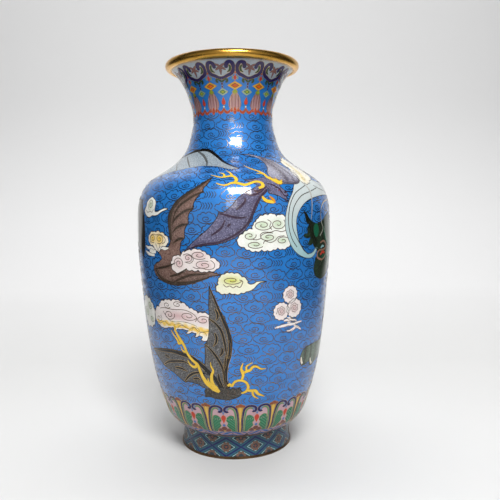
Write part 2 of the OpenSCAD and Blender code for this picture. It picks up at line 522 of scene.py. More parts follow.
def flower_cloud(spot):
    """Two yellow curls on a stem, with pale whiskers at the foot."""
    cusps = [
        (-49.2, 205.4, 0.3), (-52.4, 207.3), (-53.4, 211.3), (-51.8, 215.4), (-48.6, 217.4, 0.25),
        (-46, 217.2, 0.4), (-42.2, 217), (-38.6, 214.8), (-36, 211), (-36.8, 207.4), (-40.3, 205.3, 0.1),
        (-41.8, 203.5, 0.05), (-43.5, 199.6, 0.1), (-45.2, 200, 0.05),
    ]
    curls = [(-49, 211.6, 4.2, 4.2, 1.7, 300, 1), (-43, 211.5, 5.6, 4.6, 1.7, 240, -1)]
    lines = [
        [(-50.5, 206.8), (-52, 210), (-50.6, 214.3), (-47.6, 215.4), (-45.6, 214.4)],
        [(-45.8, 214.8), (-42.6, 215.6), (-38.8, 212.8), (-38.4, 209.4), (-40.6, 207.2)],
        [(-46.4, 207), (-45.2, 203.6), (-44.6, 200)], [(-42.4, 207.6), (-43.2, 204), (-44, 200.4)],
    ]
    cloud("cloud_gold", cusps, curls, spot, lines=lines, spread=1.25)
    for path in (
        [(-57.2, 204.2), (-54, 202.6), (-50.6, 203.2), (-47.6, 201.4)],
        [(-57.4, 199.4), (-54, 197.2), (-50.5, 196.4), (-47.8, 196.2)],
        [(-36, 203.6), (-38.6, 203), (-41.4, 203.6), (-43.4, 201.6)],
    ):
        brush("cloud_gold", path, [1.2, 3.2, 2.6, 2.2], spot, "wire_dark", FIELD)
    brush(
        "cloud_gold", [(-52.6, 200.4), (-49.4, 199.6), (-46.4, 199.8)], [3.4, 4.4, 3.2], spot,
        "wire_dark", FIELD,
    )


def lemon_cloud(spot):
    """The lemon cloud in the middle, with a tail to the right."""
    cusps = [
        (-8.6, 169.4), (-7.2, 172.6), (-7.2, 176), (-6.2, 179.4), (-3.8, 181.8), (-1.2, 182.8),
        (1.2, 182.3), (4.4, 181), (5, 179.2), (7.6, 177), (8.2, 174.2, -0.12), (10, 172.6, -0.12),
        (13, 174.8, 0.06), (18.8, 174.4, 0.02), (15.2, 173.8, -0.08), (12.6, 170.2, 0.16), (7.4, 166.1),
        (4.8, 165.4), (1.4, 164.6, 0.3), (-1.4, 165.6), (-4, 164.6), (-7, 166),
    ]
    curls = [(-0.2, 176.2, 8.6, 3.6, 1.5, 0, 1)]
    lines = [[
        (-4.6, 172.8), (-3, 170.6), (-1.2, 171.6), (0.6, 169.8), (2.2, 171.4), (4, 170), (5.2, 172.4),
        (5.6, 175.4), (3.8, 176.8),
    ]]
    cloud("cloud_lemon", cusps, curls, spot, lines=lines, spread=0.95)


def white_cloud(spot):
    """The large white cloud beside the ribbon."""
    cusps = [
        (3, 209.6), (3.6, 213), (6, 216.4), (8, 219.2), (11, 220.2), (11.4, 224), (12.8, 227), (14, 229.6),
        (16.6, 232), (19.3, 232.3), (22, 233.2), (24, 231), (26, 232.2), (29, 230.8), (31.4, 226),
        (32, 219), (32.6, 212), (32.4, 206.4), (30.2, 203.8), (27.4, 202.4), (24.6, 203.8), (22, 202.2),
        (18.8, 201.8), (15.6, 202.4), (12.4, 201.5), (9.2, 202.7), (6.6, 205),
    ]
    curls = [
        (16.3, 223.6, 8.4, 4.7, 1.6, 350, 1), (24.9, 224.4, 7.4, 5.2, 1.5, 40, 1),
        (9.4, 214.7, 5.6, 3.6, 1.4, 20, 1), (19.4, 213.2, 8, 4, 1.6, 60, -1),
        (12.2, 207, 7.6, 3.4, 1.4, 330, 1), (27.6, 209.8, 6.4, 3.6, 1.4, 10, -1),
    ]
    lines = [
        [
            (10.8, 211.8), (13, 211.2), (15.2, 212.6), (15, 215.6), (17, 217.6), (20.5, 217.4),
            (23.6, 218.8), (27, 217.6), (30, 219),
        ],
        [(16.6, 207.6), (17.4, 210), (20.4, 208.6), (23, 210), (25, 213.2), (28.6, 214)],
        [(21.4, 219.6), (20.2, 222.4), (21, 226), (19, 228.4)],
    ]
    cloud("cloud_green", cusps, curls, spot, lines=lines)


def disc_cloud(spot):
    """Three scalloped discs over streaks."""
    for u, z, r in ((33.6, 161, 7.4), (28.1, 146.4, 7.6), (37, 148, 8)):
        wide = r / 1.62
        cusps = [
            (u + wide * math.cos(a), z + r * math.sin(a)) for a in np.linspace(math.pi, -math.pi, 13)[:-1]
        ]
        curl = [tuple(p) for p in spiral(u, z, r * 0.72, r * 0.72, 2.3, 200, 1)[::3]]
        curl = scallops(curl, 0.16, closed=False, step=4)
        field("cloud_pink", scallops(cusps, 0.42), spot, 0.8, tint=hearts([(u, z, r, r)], 0.45))
        wire("wire_brown", curl, spot, 0.7)
    streaks = [
        [(30, 137.6), (33, 138), (36.2, 137.2), (39.4, 136.4)],
        [(24.4, 131.8), (29, 132.8), (35, 133.4), (43.4, 134.6)],
        [(32.4, 127.4), (36, 128), (39.6, 130.2), (43.2, 127)],
    ]
    for path in streaks:
        brush("cloud_pink", path, [1.8, 2.8, 2.8, 1.4], spot, "wire_dark", FIELD)
    brush("cloud_pink", [(33.6, 140.6), (33.8, 137), (33.4, 133.4)], [5.5, 3.6, 3.2], spot, None, FIELD)
    brush("cloud_pink", [(37.4, 134.4), (38.2, 131.4), (38.6, 129)], [3, 2.4, 2], spot, None, FIELD)


def long_cloud(spot):
    """The long pink cloud at lower left, with yellow flames along its under edge."""
    cusps = [
        (-48, 148.6), (-46.6, 152.4), (-43, 154.8), (-40, 156.2), (-37, 155.6), (-33.6, 157), (-29.8, 155),
        (-26.4, 152.8), (-24.8, 150.4), (-21.8, 149.2), (-19.6, 146.4), (-16.8, 147), (-13.8, 146),
        (-12.6, 143.6, 0.1), (-13, 136, 0.05), (-13.6, 128, 0.04), (-14.8, 121.8, 0.2),
        (-18.6, 122.4, -0.1), (-17.4, 125.4, 0.1), (-19.4, 126.2, 0.2), (-22.6, 124.4, -0.1),
        (-21.2, 128, 0.1), (-24, 129, 0.2), (-28.4, 127.2, -0.1), (-26, 130.2, 0.1), (-30, 131, 0.1),
        (-34, 130.2, 0.2), (-37.2, 128.2, -0.2), (-37, 131.4, 0.12), (-40.6, 130.6, 0.12),
        (-46.6, 129.2, 0.16), (-49.4, 131, 0.16), (-52.6, 134.4, 0.2), (-53.4, 139.6, 0.2), (-52, 145),
    ]
    curls = [
        (-39.4, 142.6, 7, 4.8, 1.7, 20, 1), (-25.8, 143.2, 9, 4.2, 1.5, 350, 1),
        (-16.6, 140.4, 7, 4, 1.5, 10, -1), (-40.6, 151.3, 4.8, 3, 1.4, 330, 1),
        (-32.6, 153, 5.6, 2.8, 1.4, 30, -1), (-49, 137.8, 4.6, 3.4, 1.4, 60, 1),
    ]
    lines = [
        [(-47, 147.4), (-43, 148.4), (-36, 148), (-28, 148.6), (-22.6, 145.8), (-20.4, 142), (-21.4, 138.6)],
        [(-44.6, 145), (-40, 138), (-36, 136.6), (-30, 137.6), (-24.6, 136.6), (-20.6, 134.6)],
        [
            (-36.4, 134), (-31.4, 135.6), (-28.2, 133), (-25.4, 131.4), (-22.6, 133.6), (-20.2, 130.6),
            (-18.2, 129.6), (-13.6, 130.6),
        ],
        [(-52, 133.6), (-48.6, 133), (-44, 135.6), (-41.6, 133.4), (-38.6, 134)],
        [(-33.6, 131.2), (-31.6, 133.8), (-28.4, 133.4), (-26.8, 131.6)],
        [(-24, 129.6), (-23.2, 132.6), (-20.4, 133), (-19, 130.8)],
        [(-19.6, 126.8), (-18.4, 129.2), (-15.8, 129), (-15, 126.2)],
    ]
    field(
        "cloud_pink", scallops(cusps, 0.34), spot, CLOUD_EDGE,
        tint=hearts([(-32, 142.5, 22, 5), (-16.7, 140, 6, 4)], 0.8),
    )
    flames = smooth([
        (-52.4, 136.4, 1), (-48, 135.4), (-44, 137), (-38, 137.4), (-32, 138.4), (-27, 137.4),
        (-22.4, 136.6), (-20, 134.6), (-16, 134), (-13.6, 132.4, 1), (-13.9, 127), (-15, 122.6, 1),
        (-17.6, 123.4), (-17, 126), (-19.4, 126.8, 1), (-21.8, 126), (-20.8, 129.2), (-24, 129.8, 1),
        (-27, 129), (-25.6, 131.4), (-30, 131.8, 1), (-34, 131.2), (-36.4, 129.8), (-36.6, 132.2),
        (-40.6, 131.6, 1), (-46.4, 130.4), (-49.2, 132),
    ], closed=True, step=3)

    def yellow(uz):
        wave = 132.8 - 0.12 * (uz[:, 0] + 33) + 1.2 * np.sin(uz[:, 0] * 1.3)
        return np.exp(-(((uz[:, 1] - wave) / 3.4) ** 2))

    fill("cloud_gold", flames, spot, FIELD + 0.03, tint=yellow, grid=1.6)
    cloud_wires(curls, lines, spot)


def far_cloud(spot):
    """The grey-green cloud at the left edge."""
    cusps = [
        (-70, 150), (-66, 155), (-61.6, 154), (-57.4, 151), (-54.6, 146), (-54, 140, 0.2), (-55, 133),
        (-58, 128.6), (-63, 127), (-69, 129), (-72, 136), (-72.4, 143),
    ]
    curls = [
        (-60, 147.4, 5, 4.4, 1.6, 20, 1), (-66, 140, 6, 4.8, 1.6, 80, -1),
        (-58.6, 134.8, 4.6, 3.6, 1.4, 30, 1),
    ]
    cloud("cloud_green", cusps, curls, spot)


def wing(name, points, ribs, spot, spread=4.2, edge_width=0.9):
    """A wing: a mottled field with a broad dark margin along its first rib and thin ones along the rest."""
    lines = [smooth(rib) for rib in ribs]
    margins = [near(lines[:1], spread * 1.25), near(lines[1:], spread * 0.5)]

    def tint(uz):
        out = np.zeros(len(uz))
        for margin in margins:
            if margin:
                out = np.maximum(out, margin(uz))
        return out

    field(name, smooth(points, closed=True, step=4), spot, edge_width, tint=tint)
    for line in lines:
        wire("wire_dark", line, spot, 0.85)


def brown_bat(spot):
    """The brown bat: one wing raised, the other spread along the bottom."""
    edge = [
        (-11.3, 266.3), (-14.5, 262.8), (-18.5, 258.7), (-21.5, 255.3), (-25, 251.6), (-28, 248.6),
        (-30.2, 245), (-32.8, 240.5), (-34.7, 236.5), (-36, 232), (-36.1, 227), (-35.7, 221),
        (-34.9, 215.5), (-34.5, 210),
    ]
    points = [(-11.3, 266.3, 1)] + edge[1:] + [
        (-36, 205), (-40.5, 202.6), (-44.4, 199.6, 1), (-42.4, 196.6), (-41.6, 193.6), (-44, 190.8),
        (-47.4, 188.4), (-49.2, 185.8), (-49.4, 182.4), (-47.9, 178.4), (-44.4, 174.4), (-40, 172),
        (-34.5, 170.7), (-29.3, 171.2), (-24, 172.4), (-19.5, 175.3), (-15.8, 177.2), (-12.3, 179.3),
        (-9.3, 180.4), (-5.8, 181, 1), (-9.4, 183.1), (-13.5, 184.4), (-17, 183.8), (-21, 186),
        (-25.4, 190), (-27.2, 196), (-28.4, 202), (-28, 205), (-27.6, 209.3), (-25.2, 213, 1),
        (-25.4, 218.5), (-24.5, 222.8), (-22.9, 225.6, 1), (-23.2, 230.5), (-22.2, 235.6),
        (-20.4, 237.6, 1), (-20.3, 242), (-18.8, 247.4), (-15.7, 253, 1), (-15.2, 256.6), (-13.4, 259.8),
    ]
    lead = [
        (-12.4, 264.4), (-18.2, 257.6), (-23.8, 251.8), (-28.2, 247.2), (-31.8, 241.2), (-34, 234.6),
        (-35, 228), (-34.8, 220), (-34.2, 211),
    ]
    bars = [
        [(-19.9, 238.5), (-23.8, 237.2), (-28, 233.7), (-31.5, 229), (-33.6, 223)],
        [(-23.2, 225), (-26.8, 224.3), (-30.5, 221.5), (-33.2, 217)],
        [(-26, 212.8), (-29.2, 211.8), (-32.4, 208.4)],
        [(-14.8, 253), (-19.2, 250.6), (-23.5, 246.6), (-28.2, 241.4), (-31.2, 234.8), (-33, 227)],
    ]
    tail = [
        (-48, 184.6), (-46, 179.4), (-41.5, 174.6), (-35.2, 172.2), (-26.6, 172.8), (-19.5, 175.2),
        (-12, 179),
    ]
    folds = [
        [(-47.6, 184), (-41, 185.9), (-35.5, 188.2), (-31.5, 191)],
        [(-36.2, 178.2), (-31, 180.4), (-27.8, 182.9), (-24.6, 186.4)],
        [(-34.2, 173), (-28, 177.4), (-21.8, 180.7), (-12, 182)],
    ]
    bat(
        points, [(lead, (1, 2.8, 3.4, 3.4, 2.6)), (tail, (1.4, 3.2, 3.6, 2.6, 1))], bars + folds, spot,
        "bat_brown", "band_brown", 2.2,
    )


def bat(points, leads, bars, spot, look, band, wide, edging="wire_brown"):
    """A bat's skin with its dark leading edges and finger bones. Each bone swells in the middle."""
    path = smooth(points, closed=True, step=4)
    lines = [smooth(lead) for lead, _ in leads]
    bones = [smooth(bar) for bar in bars]
    edge = near(lines, 4.5)
    shade = near(bones, 2.6)
    field(look, path, spot, 0.9, tint=lambda uz: np.maximum(0.75 * edge(uz), 0.6 * shade(uz)))
    for lead, widths in leads:
        brush(band, lead, widths, spot, edging)
    for bar in bars:
        brush(band, bar, [0.5 * wide, wide, 0.9 * wide, 0.5], spot, edging)


def purple_bat(spot):
    """The purple bat with its head at the right, and the mauve wing above it."""
    lower = [
        (-25.8, 200.8, 1), (-22.6, 203.4), (-19.6, 205.2), (-16, 206.3), (-12.3, 207), (-9, 207.4),
        (-5.6, 208.7), (-2, 210.6), (1, 212.5), (3.8, 215.4), (6.8, 219.4), (9, 224.6), (10.4, 229),
        (11.6, 233.5), (13, 238), (14.3, 242.4), (15.5, 246), (17.2, 249.8), (19.2, 253), (21.2, 255.4),
    ]
    head = [
        (20.6, 251.4), (23, 250.4), (26.6, 248.8), (29, 246.4), (31.2, 244.6, 1), (31, 247.6),
        (32.6, 249.6, 1), (31.4, 252.4), (29.4, 255.6), (28.4, 258.6), (29.6, 262.4), (26.6, 264.8),
        (22, 265.4), (17.2, 264.6), (12, 263.2), (7.4, 263, 1), (11, 260.8), (15.8, 258.6),
    ]
    upper = [
        (13.8, 256.6), (11.2, 254.4), (8.4, 252.4), (6, 250), (4, 247.6), (2.4, 244.8), (0.6, 241),
        (-1.6, 237.6), (-3.8, 235.2), (-6.4, 235.4, 1), (-7, 231.6), (-8.6, 227.6), (-10.8, 223.2),
        (-13.4, 219), (-16.6, 214.8), (-19, 211.4), (-21.6, 207.6), (-24.2, 203.6),
    ]
    lead = [
        (-23.6, 202.8), (-18.6, 206.4), (-13.4, 208), (-7.4, 209.2), (-1.8, 212.6), (3, 217), (6.4, 221.6),
        (9.4, 228), (11.4, 235.4), (13.6, 243.2), (16.6, 249.2), (20, 254),
    ]
    folds = [
        [(-6, 234), (-3, 232.8), (0.5, 231.2), (4.5, 230.2), (8, 231)],
        [(-10.4, 215.3), (-7.4, 218.6), (-4.8, 222.6), (-3.2, 228.4)],
        [(2.6, 237.3), (5.4, 240.6), (7.2, 244.2), (7.4, 247)],
        [(7.6, 252.4), (9.8, 250), (13.6, 250.4), (17.2, 253.6), (20.2, 257.4)],
        [(12.4, 253.4), (14.8, 253), (17.4, 255.2)], [(-2, 222.6), (-0.4, 225.4)],
    ]
    bat(
        lower + head + upper, [(lead, (0.8, 1.5, 1.6, 1.7, 2.2))], folds, spot, "bat_purple", "band_purple",
        1.9,
    )
    beak = [(20.4, 259.6), (24, 258.4), (27.4, 255.4), (28.6, 252.4), (30, 248.6)]
    brush("band_purple", beak, [0.6, 1.4, 1, 1.4, 0.6], spot, "wire_brown")
    for spike in (
        [(30.4, 251.2), (31.8, 252.6), (33, 252.2)], [(29.6, 249), (31.2, 248.6), (32.2, 249.4)],
        [(29.8, 246.4), (30.6, 244.6), (32, 244.2)],
    ):
        brush("band_purple", spike, [1.4, 1, 0.5], spot, "wire_dark")
    dot("band_purple", 25.8, 256.2, 0.9, spot, "wire_gold", DETAIL)
    dot("coral", 27.2, 253.6, 0.55, spot, "wire_dark", DETAIL, edge_width=0.3)
    fold = [
        (8.5, 287.2, 1), (17, 287.3), (26, 285.8), (33, 284.2), (39.5, 282), (43.8, 278.8), (47, 275),
        (48.8, 271.5), (49, 267.6), (47, 263.8), (44.4, 260.8), (41, 259.3), (36, 259.3), (31, 259.6),
        (28.6, 262.4, 1), (25.4, 264.8), (24.6, 269.4), (28.4, 275), (28.6, 280), (25, 284), (17, 286.5),
    ]
    ribs = [
        [(30, 283.8), (35, 277), (36.4, 268), (35, 261)], [(37, 282), (41.6, 274), (42, 266), (40, 260)],
        [(28.6, 262), (35, 260.4), (42, 260.4), (46.6, 264)],
    ]
    wing("bat_mauve", fold, ribs, spot)


def grey_bat(spot):
    """The grey bat low on the vase: one wing upright, the other spread to the left."""
    edge = [
        (-12.3, 171.4), (-10.2, 161), (-8.3, 154), (-5.8, 147), (-3.6, 139), (-1.6, 130), (-0.6, 123),
        (-0.6, 117), (-1.5, 109), (-2.6, 103), (-3.7, 96.6),
    ]
    upright = [(-12.3, 171.4, 1)] + edge[1:] + [
        (-4, 90), (-3.8, 84), (-2.6, 77), (-8, 76), (-15, 78), (-18.4, 84), (-17.6, 92), (-17.2, 100),
        (-16.6, 107), (-16.4, 113), (-16.3, 118.7, 1), (-14.8, 121.4), (-13.8, 128), (-13.2, 136),
        (-13.3, 141.8, 1), (-12.8, 146), (-13, 153), (-12.6, 162),
    ]
    bones = [
        [(-13, 141.8), (-9.8, 138.3), (-6.5, 131.4), (-4.8, 121.1), (-4, 112), (-2.9, 105.6)],
        [(-16.2, 118.2), (-12.8, 113.4), (-9.5, 106.2), (-7.2, 99.7), (-6, 94.2), (-5.4, 85.5), (-4, 77.6)],
        [(-9.6, 151), (-8.4, 147.6), (-8.2, 143.8), (-9.2, 140.8)],
        [(-10.2, 129.4), (-9.2, 124.9), (-9.8, 120.1), (-11.5, 116.9)],
        [(-6.5, 115.7), (-6.2, 111.9), (-7.8, 107.7)], [(-9, 91.3), (-8.8, 85.5), (-6.2, 76.8)],
        [(-2.8, 105.8), (-1.9, 114), (-2.3, 123)], [(-6, 94.4), (-4.8, 100.7), (-4.2, 109)],
    ]
    lead = [
        (-11.9, 169), (-9.8, 160.4), (-7.6, 151), (-4.8, 139.6), (-2.4, 129.6), (-1.6, 118), (-2.2, 108.4),
        (-3.8, 100.7), (-4.8, 92.2), (-4.9, 83.5), (-3.4, 77.4),
    ]
    spread = [
        (-9, 78), (-12, 86), (-14.4, 94), (-17.7, 99.8), (-22.3, 103.8), (-25.8, 106.3), (-28.4, 107.8),
        (-32.5, 109), (-39.5, 109.6), (-49.5, 108), (-60, 105.4), (-64.6, 103.4, 1), (-58, 98.4),
        (-51.8, 91.4, 1), (-46, 89.4), (-39.5, 85.4), (-33.2, 79.6, 1), (-29.4, 81), (-26.4, 80.6),
        (-22, 79.4), (-18.4, 76.6, 1), (-15, 74),
    ]
    under = spot.at(0)
    bars = [
        [(-51.2, 91.8), (-44.8, 96.7), (-37.2, 99.2), (-30.8, 99.7), (-25.6, 96)],
        [(-32.8, 80.6), (-29, 86.5), (-24.2, 90.5), (-19.5, 91), (-15, 90)],
        [(-39.8, 92.7), (-35.2, 93), (-31.5, 91.8), (-29.8, 90.8)],
        [(-26.2, 84.3), (-22.8, 85.3), (-20.8, 83.8)],
        [(-48, 102.2), (-45, 101.6), (-43.2, 100.7)],
    ]
    shoulder = [
        (-62.6, 103.9), (-49.5, 106.4), (-39.5, 107.8), (-32.2, 106.8), (-25.6, 104.7), (-21.4, 100.9),
        (-17.4, 95.6), (-12.7, 88.6), (-9.6, 82.5), (-8, 77.6),
    ]
    bat(spread, [(shoulder, (1, 2.8, 3.6, 4, 3.4))], bars, under, "bat_grey", "wing_black", 2.4, "wire_gold")
    bat(upright, [(lead, (1, 2.4, 3.2, 3.4, 3.6))], bones, spot, "bat_grey", "wing_black", 2.3, "wire_gold")
    body = [
        (-18.8, 74.4), (-18.6, 70.6), (-19.2, 67.4, 1), (-16, 68.2), (-12, 66.8), (-7.2, 66.1),
        (-2.4, 66.2), (1.2, 67.8), (4, 69.8), (6, 73.6, 1), (4.2, 75.6), (4, 78.5, 1), (1.6, 76.8),
        (-0.6, 77.6), (-3, 76), (-6, 78.4), (-10, 79.4), (-15, 77),
    ]
    wing("bat_body", body, [[(-18, 71), (-12, 73), (-6, 73), (0, 72)]], spot.at(2), 3.0)
    for curl in (
        [(-4.6, 76), (-3, 73.8), (-4.2, 71.4), (-2.4, 69.4)], [(-0.4, 76), (1, 73.6), (0, 71.4)],
        [(2, 76.6), (3.4, 74.2), (2.6, 71.8)],
    ):
        wire("wire_brown", smooth(curl), spot.at(2), 0.6)


def shoulder_wing(spot):
    """The pale grey wing with a black upper edge, high on the left of the shoulder."""
    top = [
        (-84, 280), (-74, 286), (-62, 288.8), (-46, 291.8), (-31, 292.4), (-22, 290), (-14, 285.4),
        (-8, 281), (-1.5, 277.2), (5.8, 273.3),
    ]
    points = top[:-1] + [
        (5.8, 273.3, 1), (-1.5, 272.9), (-10, 275.3), (-17, 276.2), (-24.5, 276.6), (-33, 275.6),
        (-42, 274), (-52, 272), (-60, 269.4), (-72, 266), (-84, 268),
    ]
    ribs = [
        [(-41, 291.2), (-31, 287.3), (-23.2, 281.3), (-20.2, 276.6)],
        [(-56, 287), (-44.5, 281.3), (-35.8, 276)], [(-70, 284), (-56, 277.6), (-47, 273.4)],
    ]
    wing("wing_pale", points, [], spot, edge_width=0.8)
    brush("wing_black", top, [1.4, 2.2, 3, 3, 2.4, 1.2], spot, None, INLAY)
    for rib, w in zip(ribs, ([1.4, 2.4, 2.2, 1], [1, 1.8, 1], [1, 1.6, 1])):
        brush("wing_grey", rib, w, spot, None, INLAY)


def dark_wing(spot):
    """The black wing at the left edge."""
    points = [
        (-66, 247, 1), (-62.4, 240), (-59.8, 232), (-58.7, 222), (-58.4, 210), (-59.4, 200),
        (-62, 191.4, 1), (-64.2, 197.6), (-67.4, 201), (-71, 194, 1), (-73.4, 202), (-78, 206),
        (-83, 198, 1), (-86, 208), (-92, 213), (-98, 207, 1), (-99, 218), (-95, 229), (-88, 239),
        (-78, 246),
    ]
    ribs = [
        [(-66, 246), (-63, 236), (-61, 222), (-61.4, 204), (-62, 193)],
        [(-68, 245), (-69, 228), (-70, 212), (-71, 196)],
        [(-72, 245), (-77, 230), (-81, 214), (-83, 200)], [(-78, 244), (-87, 233), (-94, 220), (-97.4, 209)],
    ]
    wing("bat_black", points, ribs, spot, 3.4)


def antlers(spot):
    """Yellow branches of the purple bat."""
    strokes("antler", (
        (
            [
                (15.4, 255.6), (18, 257.4), (17.6, 260.2), (14.4, 261.4), (11, 259.8), (7.6, 258.5),
                (4, 260), (0.4, 260.2), (-2.4, 258.5), (-5.4, 258.6), (-8.4, 260.2),
            ],
            [2.2, 3.2, 2.6, 2.2, 2.4, 2.6, 2.6, 2.2, 1.6, 1.3, 0.8],
        ),
        (
            [(1.8, 260.2), (3.2, 263), (1.4, 266.2), (-2, 266.2), (-6, 265.4), (-9.5, 266.4), (-13, 267.6)],
            [2.6, 3.0, 2.6, 2.2, 1.8, 1.3, 0.7],
        ),
        ([(-4.2, 265.8), (-4.8, 268.4), (-8.2, 269.6)], [2.2, 1.6, 0.7]),
        ([(0.8, 266.4), (-0.8, 269.4), (-3.6, 271.6)], [2.4, 1.6, 0.7]),
        (
            [(9.6, 276.4), (14.6, 273), (19, 270.8), (21.6, 268.2), (23, 265), (26, 263), (29.6, 260.8)],
            [0.7, 1.4, 1.8, 2.6, 3.0, 3.2, 3.6],
        ),
        ([(16.6, 268.6), (19.6, 268.8), (21.8, 267.8)], [0.8, 1.6, 2.2]),
    ), spot)
    flame = smooth(
        [
            (24, 262.6, 1), (24.4, 266.4, 1), (26, 263.8), (27.2, 262.4), (27.6, 265.6, 1), (29, 262.6),
            (30, 262.2), (31.8, 263.4, 1), (30.8, 259.4), (28.6, 258.8), (26, 260.6),
        ],
        closed=True, step=4,
    )
    fill("antler", flame, spot, INLAY)
    wire("wire_dark", flame, spot, 0.5, closed=True)
    brush(
        "antler", [(16.8, 248.6), (17.6, 246.2), (19.2, 244.4), (21.2, 243.8), (23.2, 243)],
        [1.6, 3, 3, 3, 2], spot, "wire_dark",
    )
    brush(
        "antler_orange", [(20.8, 248.6), (22.2, 246.6), (23.2, 244.4), (23.4, 242.6)], [0.8, 2, 2.8, 2],
        spot, "wire_dark",
    )


def branches(spot):
    """Yellow branches of the grey bat."""
    dot("antler", -10.8, 76.1, 1.2, spot, "wire_brown", DETAIL + LEVEL * 2)
    strokes("antler", (
        (
            [
                (-9.2, 73.4), (-13, 78), (-17, 82), (-19.3, 87.4), (-20.8, 93.8), (-22.2, 99),
                (-24.4, 101.4), (-26.8, 105), (-28.7, 109.5), (-30.2, 115.4), (-32.2, 119.6), (-34, 124),
                (-35.8, 129), (-35.8, 134.6),
            ],
            [2.6, 6.6, 5.4, 3.8, 3, 2.8, 2.8, 2.8, 2.6, 2.6, 3, 3.4, 2.6, 2.2, 0.9],
        ),
        ([(-22.8, 99.6), (-23.4, 96.4), (-25.6, 96.4), (-27.6, 99), (-28.6, 102)], [2.4, 2.8, 2.4, 1.6, 0.7]),
        ([(-28.9, 110.4), (-30.6, 109.6), (-32, 111.6), (-32.6, 114.4)], [2.4, 2, 1.4, 0.7]),
        ([(-31.6, 118.4), (-34, 116.6), (-34.6, 119.6), (-37.6, 125), (-39, 128.4)], [2.6, 2.4, 2, 1.4, 0.8]),
        (
            [(-12.6, 78.6), (-13.6, 84), (-13.4, 89.6), (-12.2, 94), (-13.4, 98), (-13.6, 102)],
            [4.4, 3.2, 2.8, 2.2, 1.4, 0.7],
        ),
        ([(-14, 80.6), (-15.6, 83.4), (-16, 86.6)], [2, 1.4, 0.7]),
        ([(-3.6, 79.4), (-2.4, 81.4), (-1.6, 79.8), (-0.6, 80)], [2, 2.6, 2.6, 2]),
        (
            [
                (-0.8, 79.6), (-0.2, 82), (1.6, 84.4), (4.8, 84.9), (7.8, 82.6), (9.1, 78), (7.8, 74),
                (4.8, 72.3),
            ],
            [2, 2.2, 2.2, 2.4, 2.4, 2.6, 2.4, 1.4],
        ),
        ([(8, 75), (11, 74.4), (13.8, 74), (15.8, 70.6), (20.2, 67.6)], [2.2, 2.8, 3, 2, 0.7]),
        ([(11.8, 73.6), (12.8, 69), (16, 66)], [2.2, 1.8, 0.7]),
        ([(4.8, 85), (5.8, 89.4), (5.4, 93), (4.6, 96.2), (5.8, 101.4)], [2.2, 2.4, 3, 1.8, 0.7]),
        (
            [(5.6, 92), (8.2, 93.6), (10, 94.4), (11.4, 97), (13.6, 97.6), (16.8, 94.8), (19.8, 94.8)],
            [2.6, 2.6, 2.6, 2.2, 2, 1.5, 0.7],
        ),
        ([(7.8, 94.6), (7.8, 98), (9.4, 99.8), (11.4, 101.4)], [2, 1.7, 1.3, 0.7]),
    ), spot)


def ribbon(spot):
    """The pale hooped ribbon and the cream scarf it hangs from."""
    outer = [
        (39, 258.4), (36.3, 252.5), (33.8, 247.6), (32, 243), (30.7, 238), (29.8, 233), (29.3, 227.4),
        (29.3, 221.8), (30, 216), (31.4, 210), (33, 204.6), (35, 200.4), (37.6, 197), (41, 194.2),
        (44.6, 192.6), (48.2, 192.4), (51, 194.4), (53, 197.6), (54.4, 201.4),
    ]
    inner = [
        (52.2, 201.6), (50.8, 198.6), (48.6, 196.8), (46, 196.6), (43, 198.6), (40.6, 202.4), (38.6, 208),
        (37.4, 214), (36.8, 220), (36.7, 226), (37.4, 231), (39.2, 236), (42.3, 240.8), (46.3, 244.3),
        (50.6, 246.4), (55, 247.6), (60, 248.6), (66, 249.4), (74, 249.6), (82, 248.6),
    ]
    top = [(84, 256, 1), (74, 260.6), (64, 263.4), (56, 266), (50, 265.6), (44.6, 262)]
    path = smooth(
        outer[:-1] + [outer[-1] + (1,)] + [inner[0] + (1,)] + inner[1:-1] + [inner[-1] + (1,)] + top,
        closed=True, step=3,
    )
    field("ribbon", path, spot, 0.8, tint=lambda uz: np.clip((uz[:, 1] - 196) / 46, 0, 1))
    seams = [
        [
            (53.4, 260.4), (45.8, 256.7), (38, 251.2), (33.4, 242.5), (31.6, 232.5), (31.6, 221.3),
            (33.4, 211.1), (36.8, 203.4),
        ],
        [
            (60.6, 256.2), (51, 252.7), (42, 248.7), (36, 240.5), (34, 231.3), (34, 221), (37, 210.8),
            (42.2, 200.1), (45.8, 195.9),
        ],
        [(63, 266), (63, 263), (69.5, 259), (80, 254)], [(58, 258.6), (65, 255.4), (80, 252)],
    ]
    for seam in seams:
        wire("wire_dark", smooth(seam), spot, 1.15)
    scarf = scallops([
        (54.5, 281.8), (59, 284), (64, 283.4), (69, 279.6), (70.4, 276.3), (71.2, 273.4, 0.1),
        (68.2, 270.1, 0.1), (65, 266.6, 0.1), (56.8, 262.8), (53.4, 260.6), (49.6, 260.4), (46.8, 262.4),
        (47.2, 266.1), (46.6, 269.4), (50.4, 272.4), (52, 275.6), (49.8, 278.4),
    ], 0.34)
    spot = spot.at(2)
    field("scarf", scarf, spot, 1.0, tint=near([smooth([(56, 280), (58, 274), (54, 268), (51, 264)])], 2.6))
    for curl in (
        (58, 278.4, 4.4, 2.6, 1.4, 20, 1), (53.4, 270.4, 4.6, 2.8, 1.4, 200, 1),
        (52.4, 264.2, 3.6, 1.9, 1.3, 0, -1),
    ):
        wire("wire_brown", spiral(*curl), spot, 1.0)
    wire("wire_brown", smooth([(66.6, 279), (64.6, 275.6), (61.4, 271), (60, 266.6)]), spot, 0.6)
    threads = [
        [(47.6, 261.6), (50, 256.7), (51, 251.2), (50, 241), (48.5, 227.4)],
        [(75.8, 245.2), (66, 243.4), (60.6, 238.6), (59, 232), (59.5, 224.8), (61.4, 218), (57.4, 211.8)],
    ]
    for path in threads:
        brush("thread", path, [1.1, 1.2, 1.1, 0.7], spot, "wire_brown")


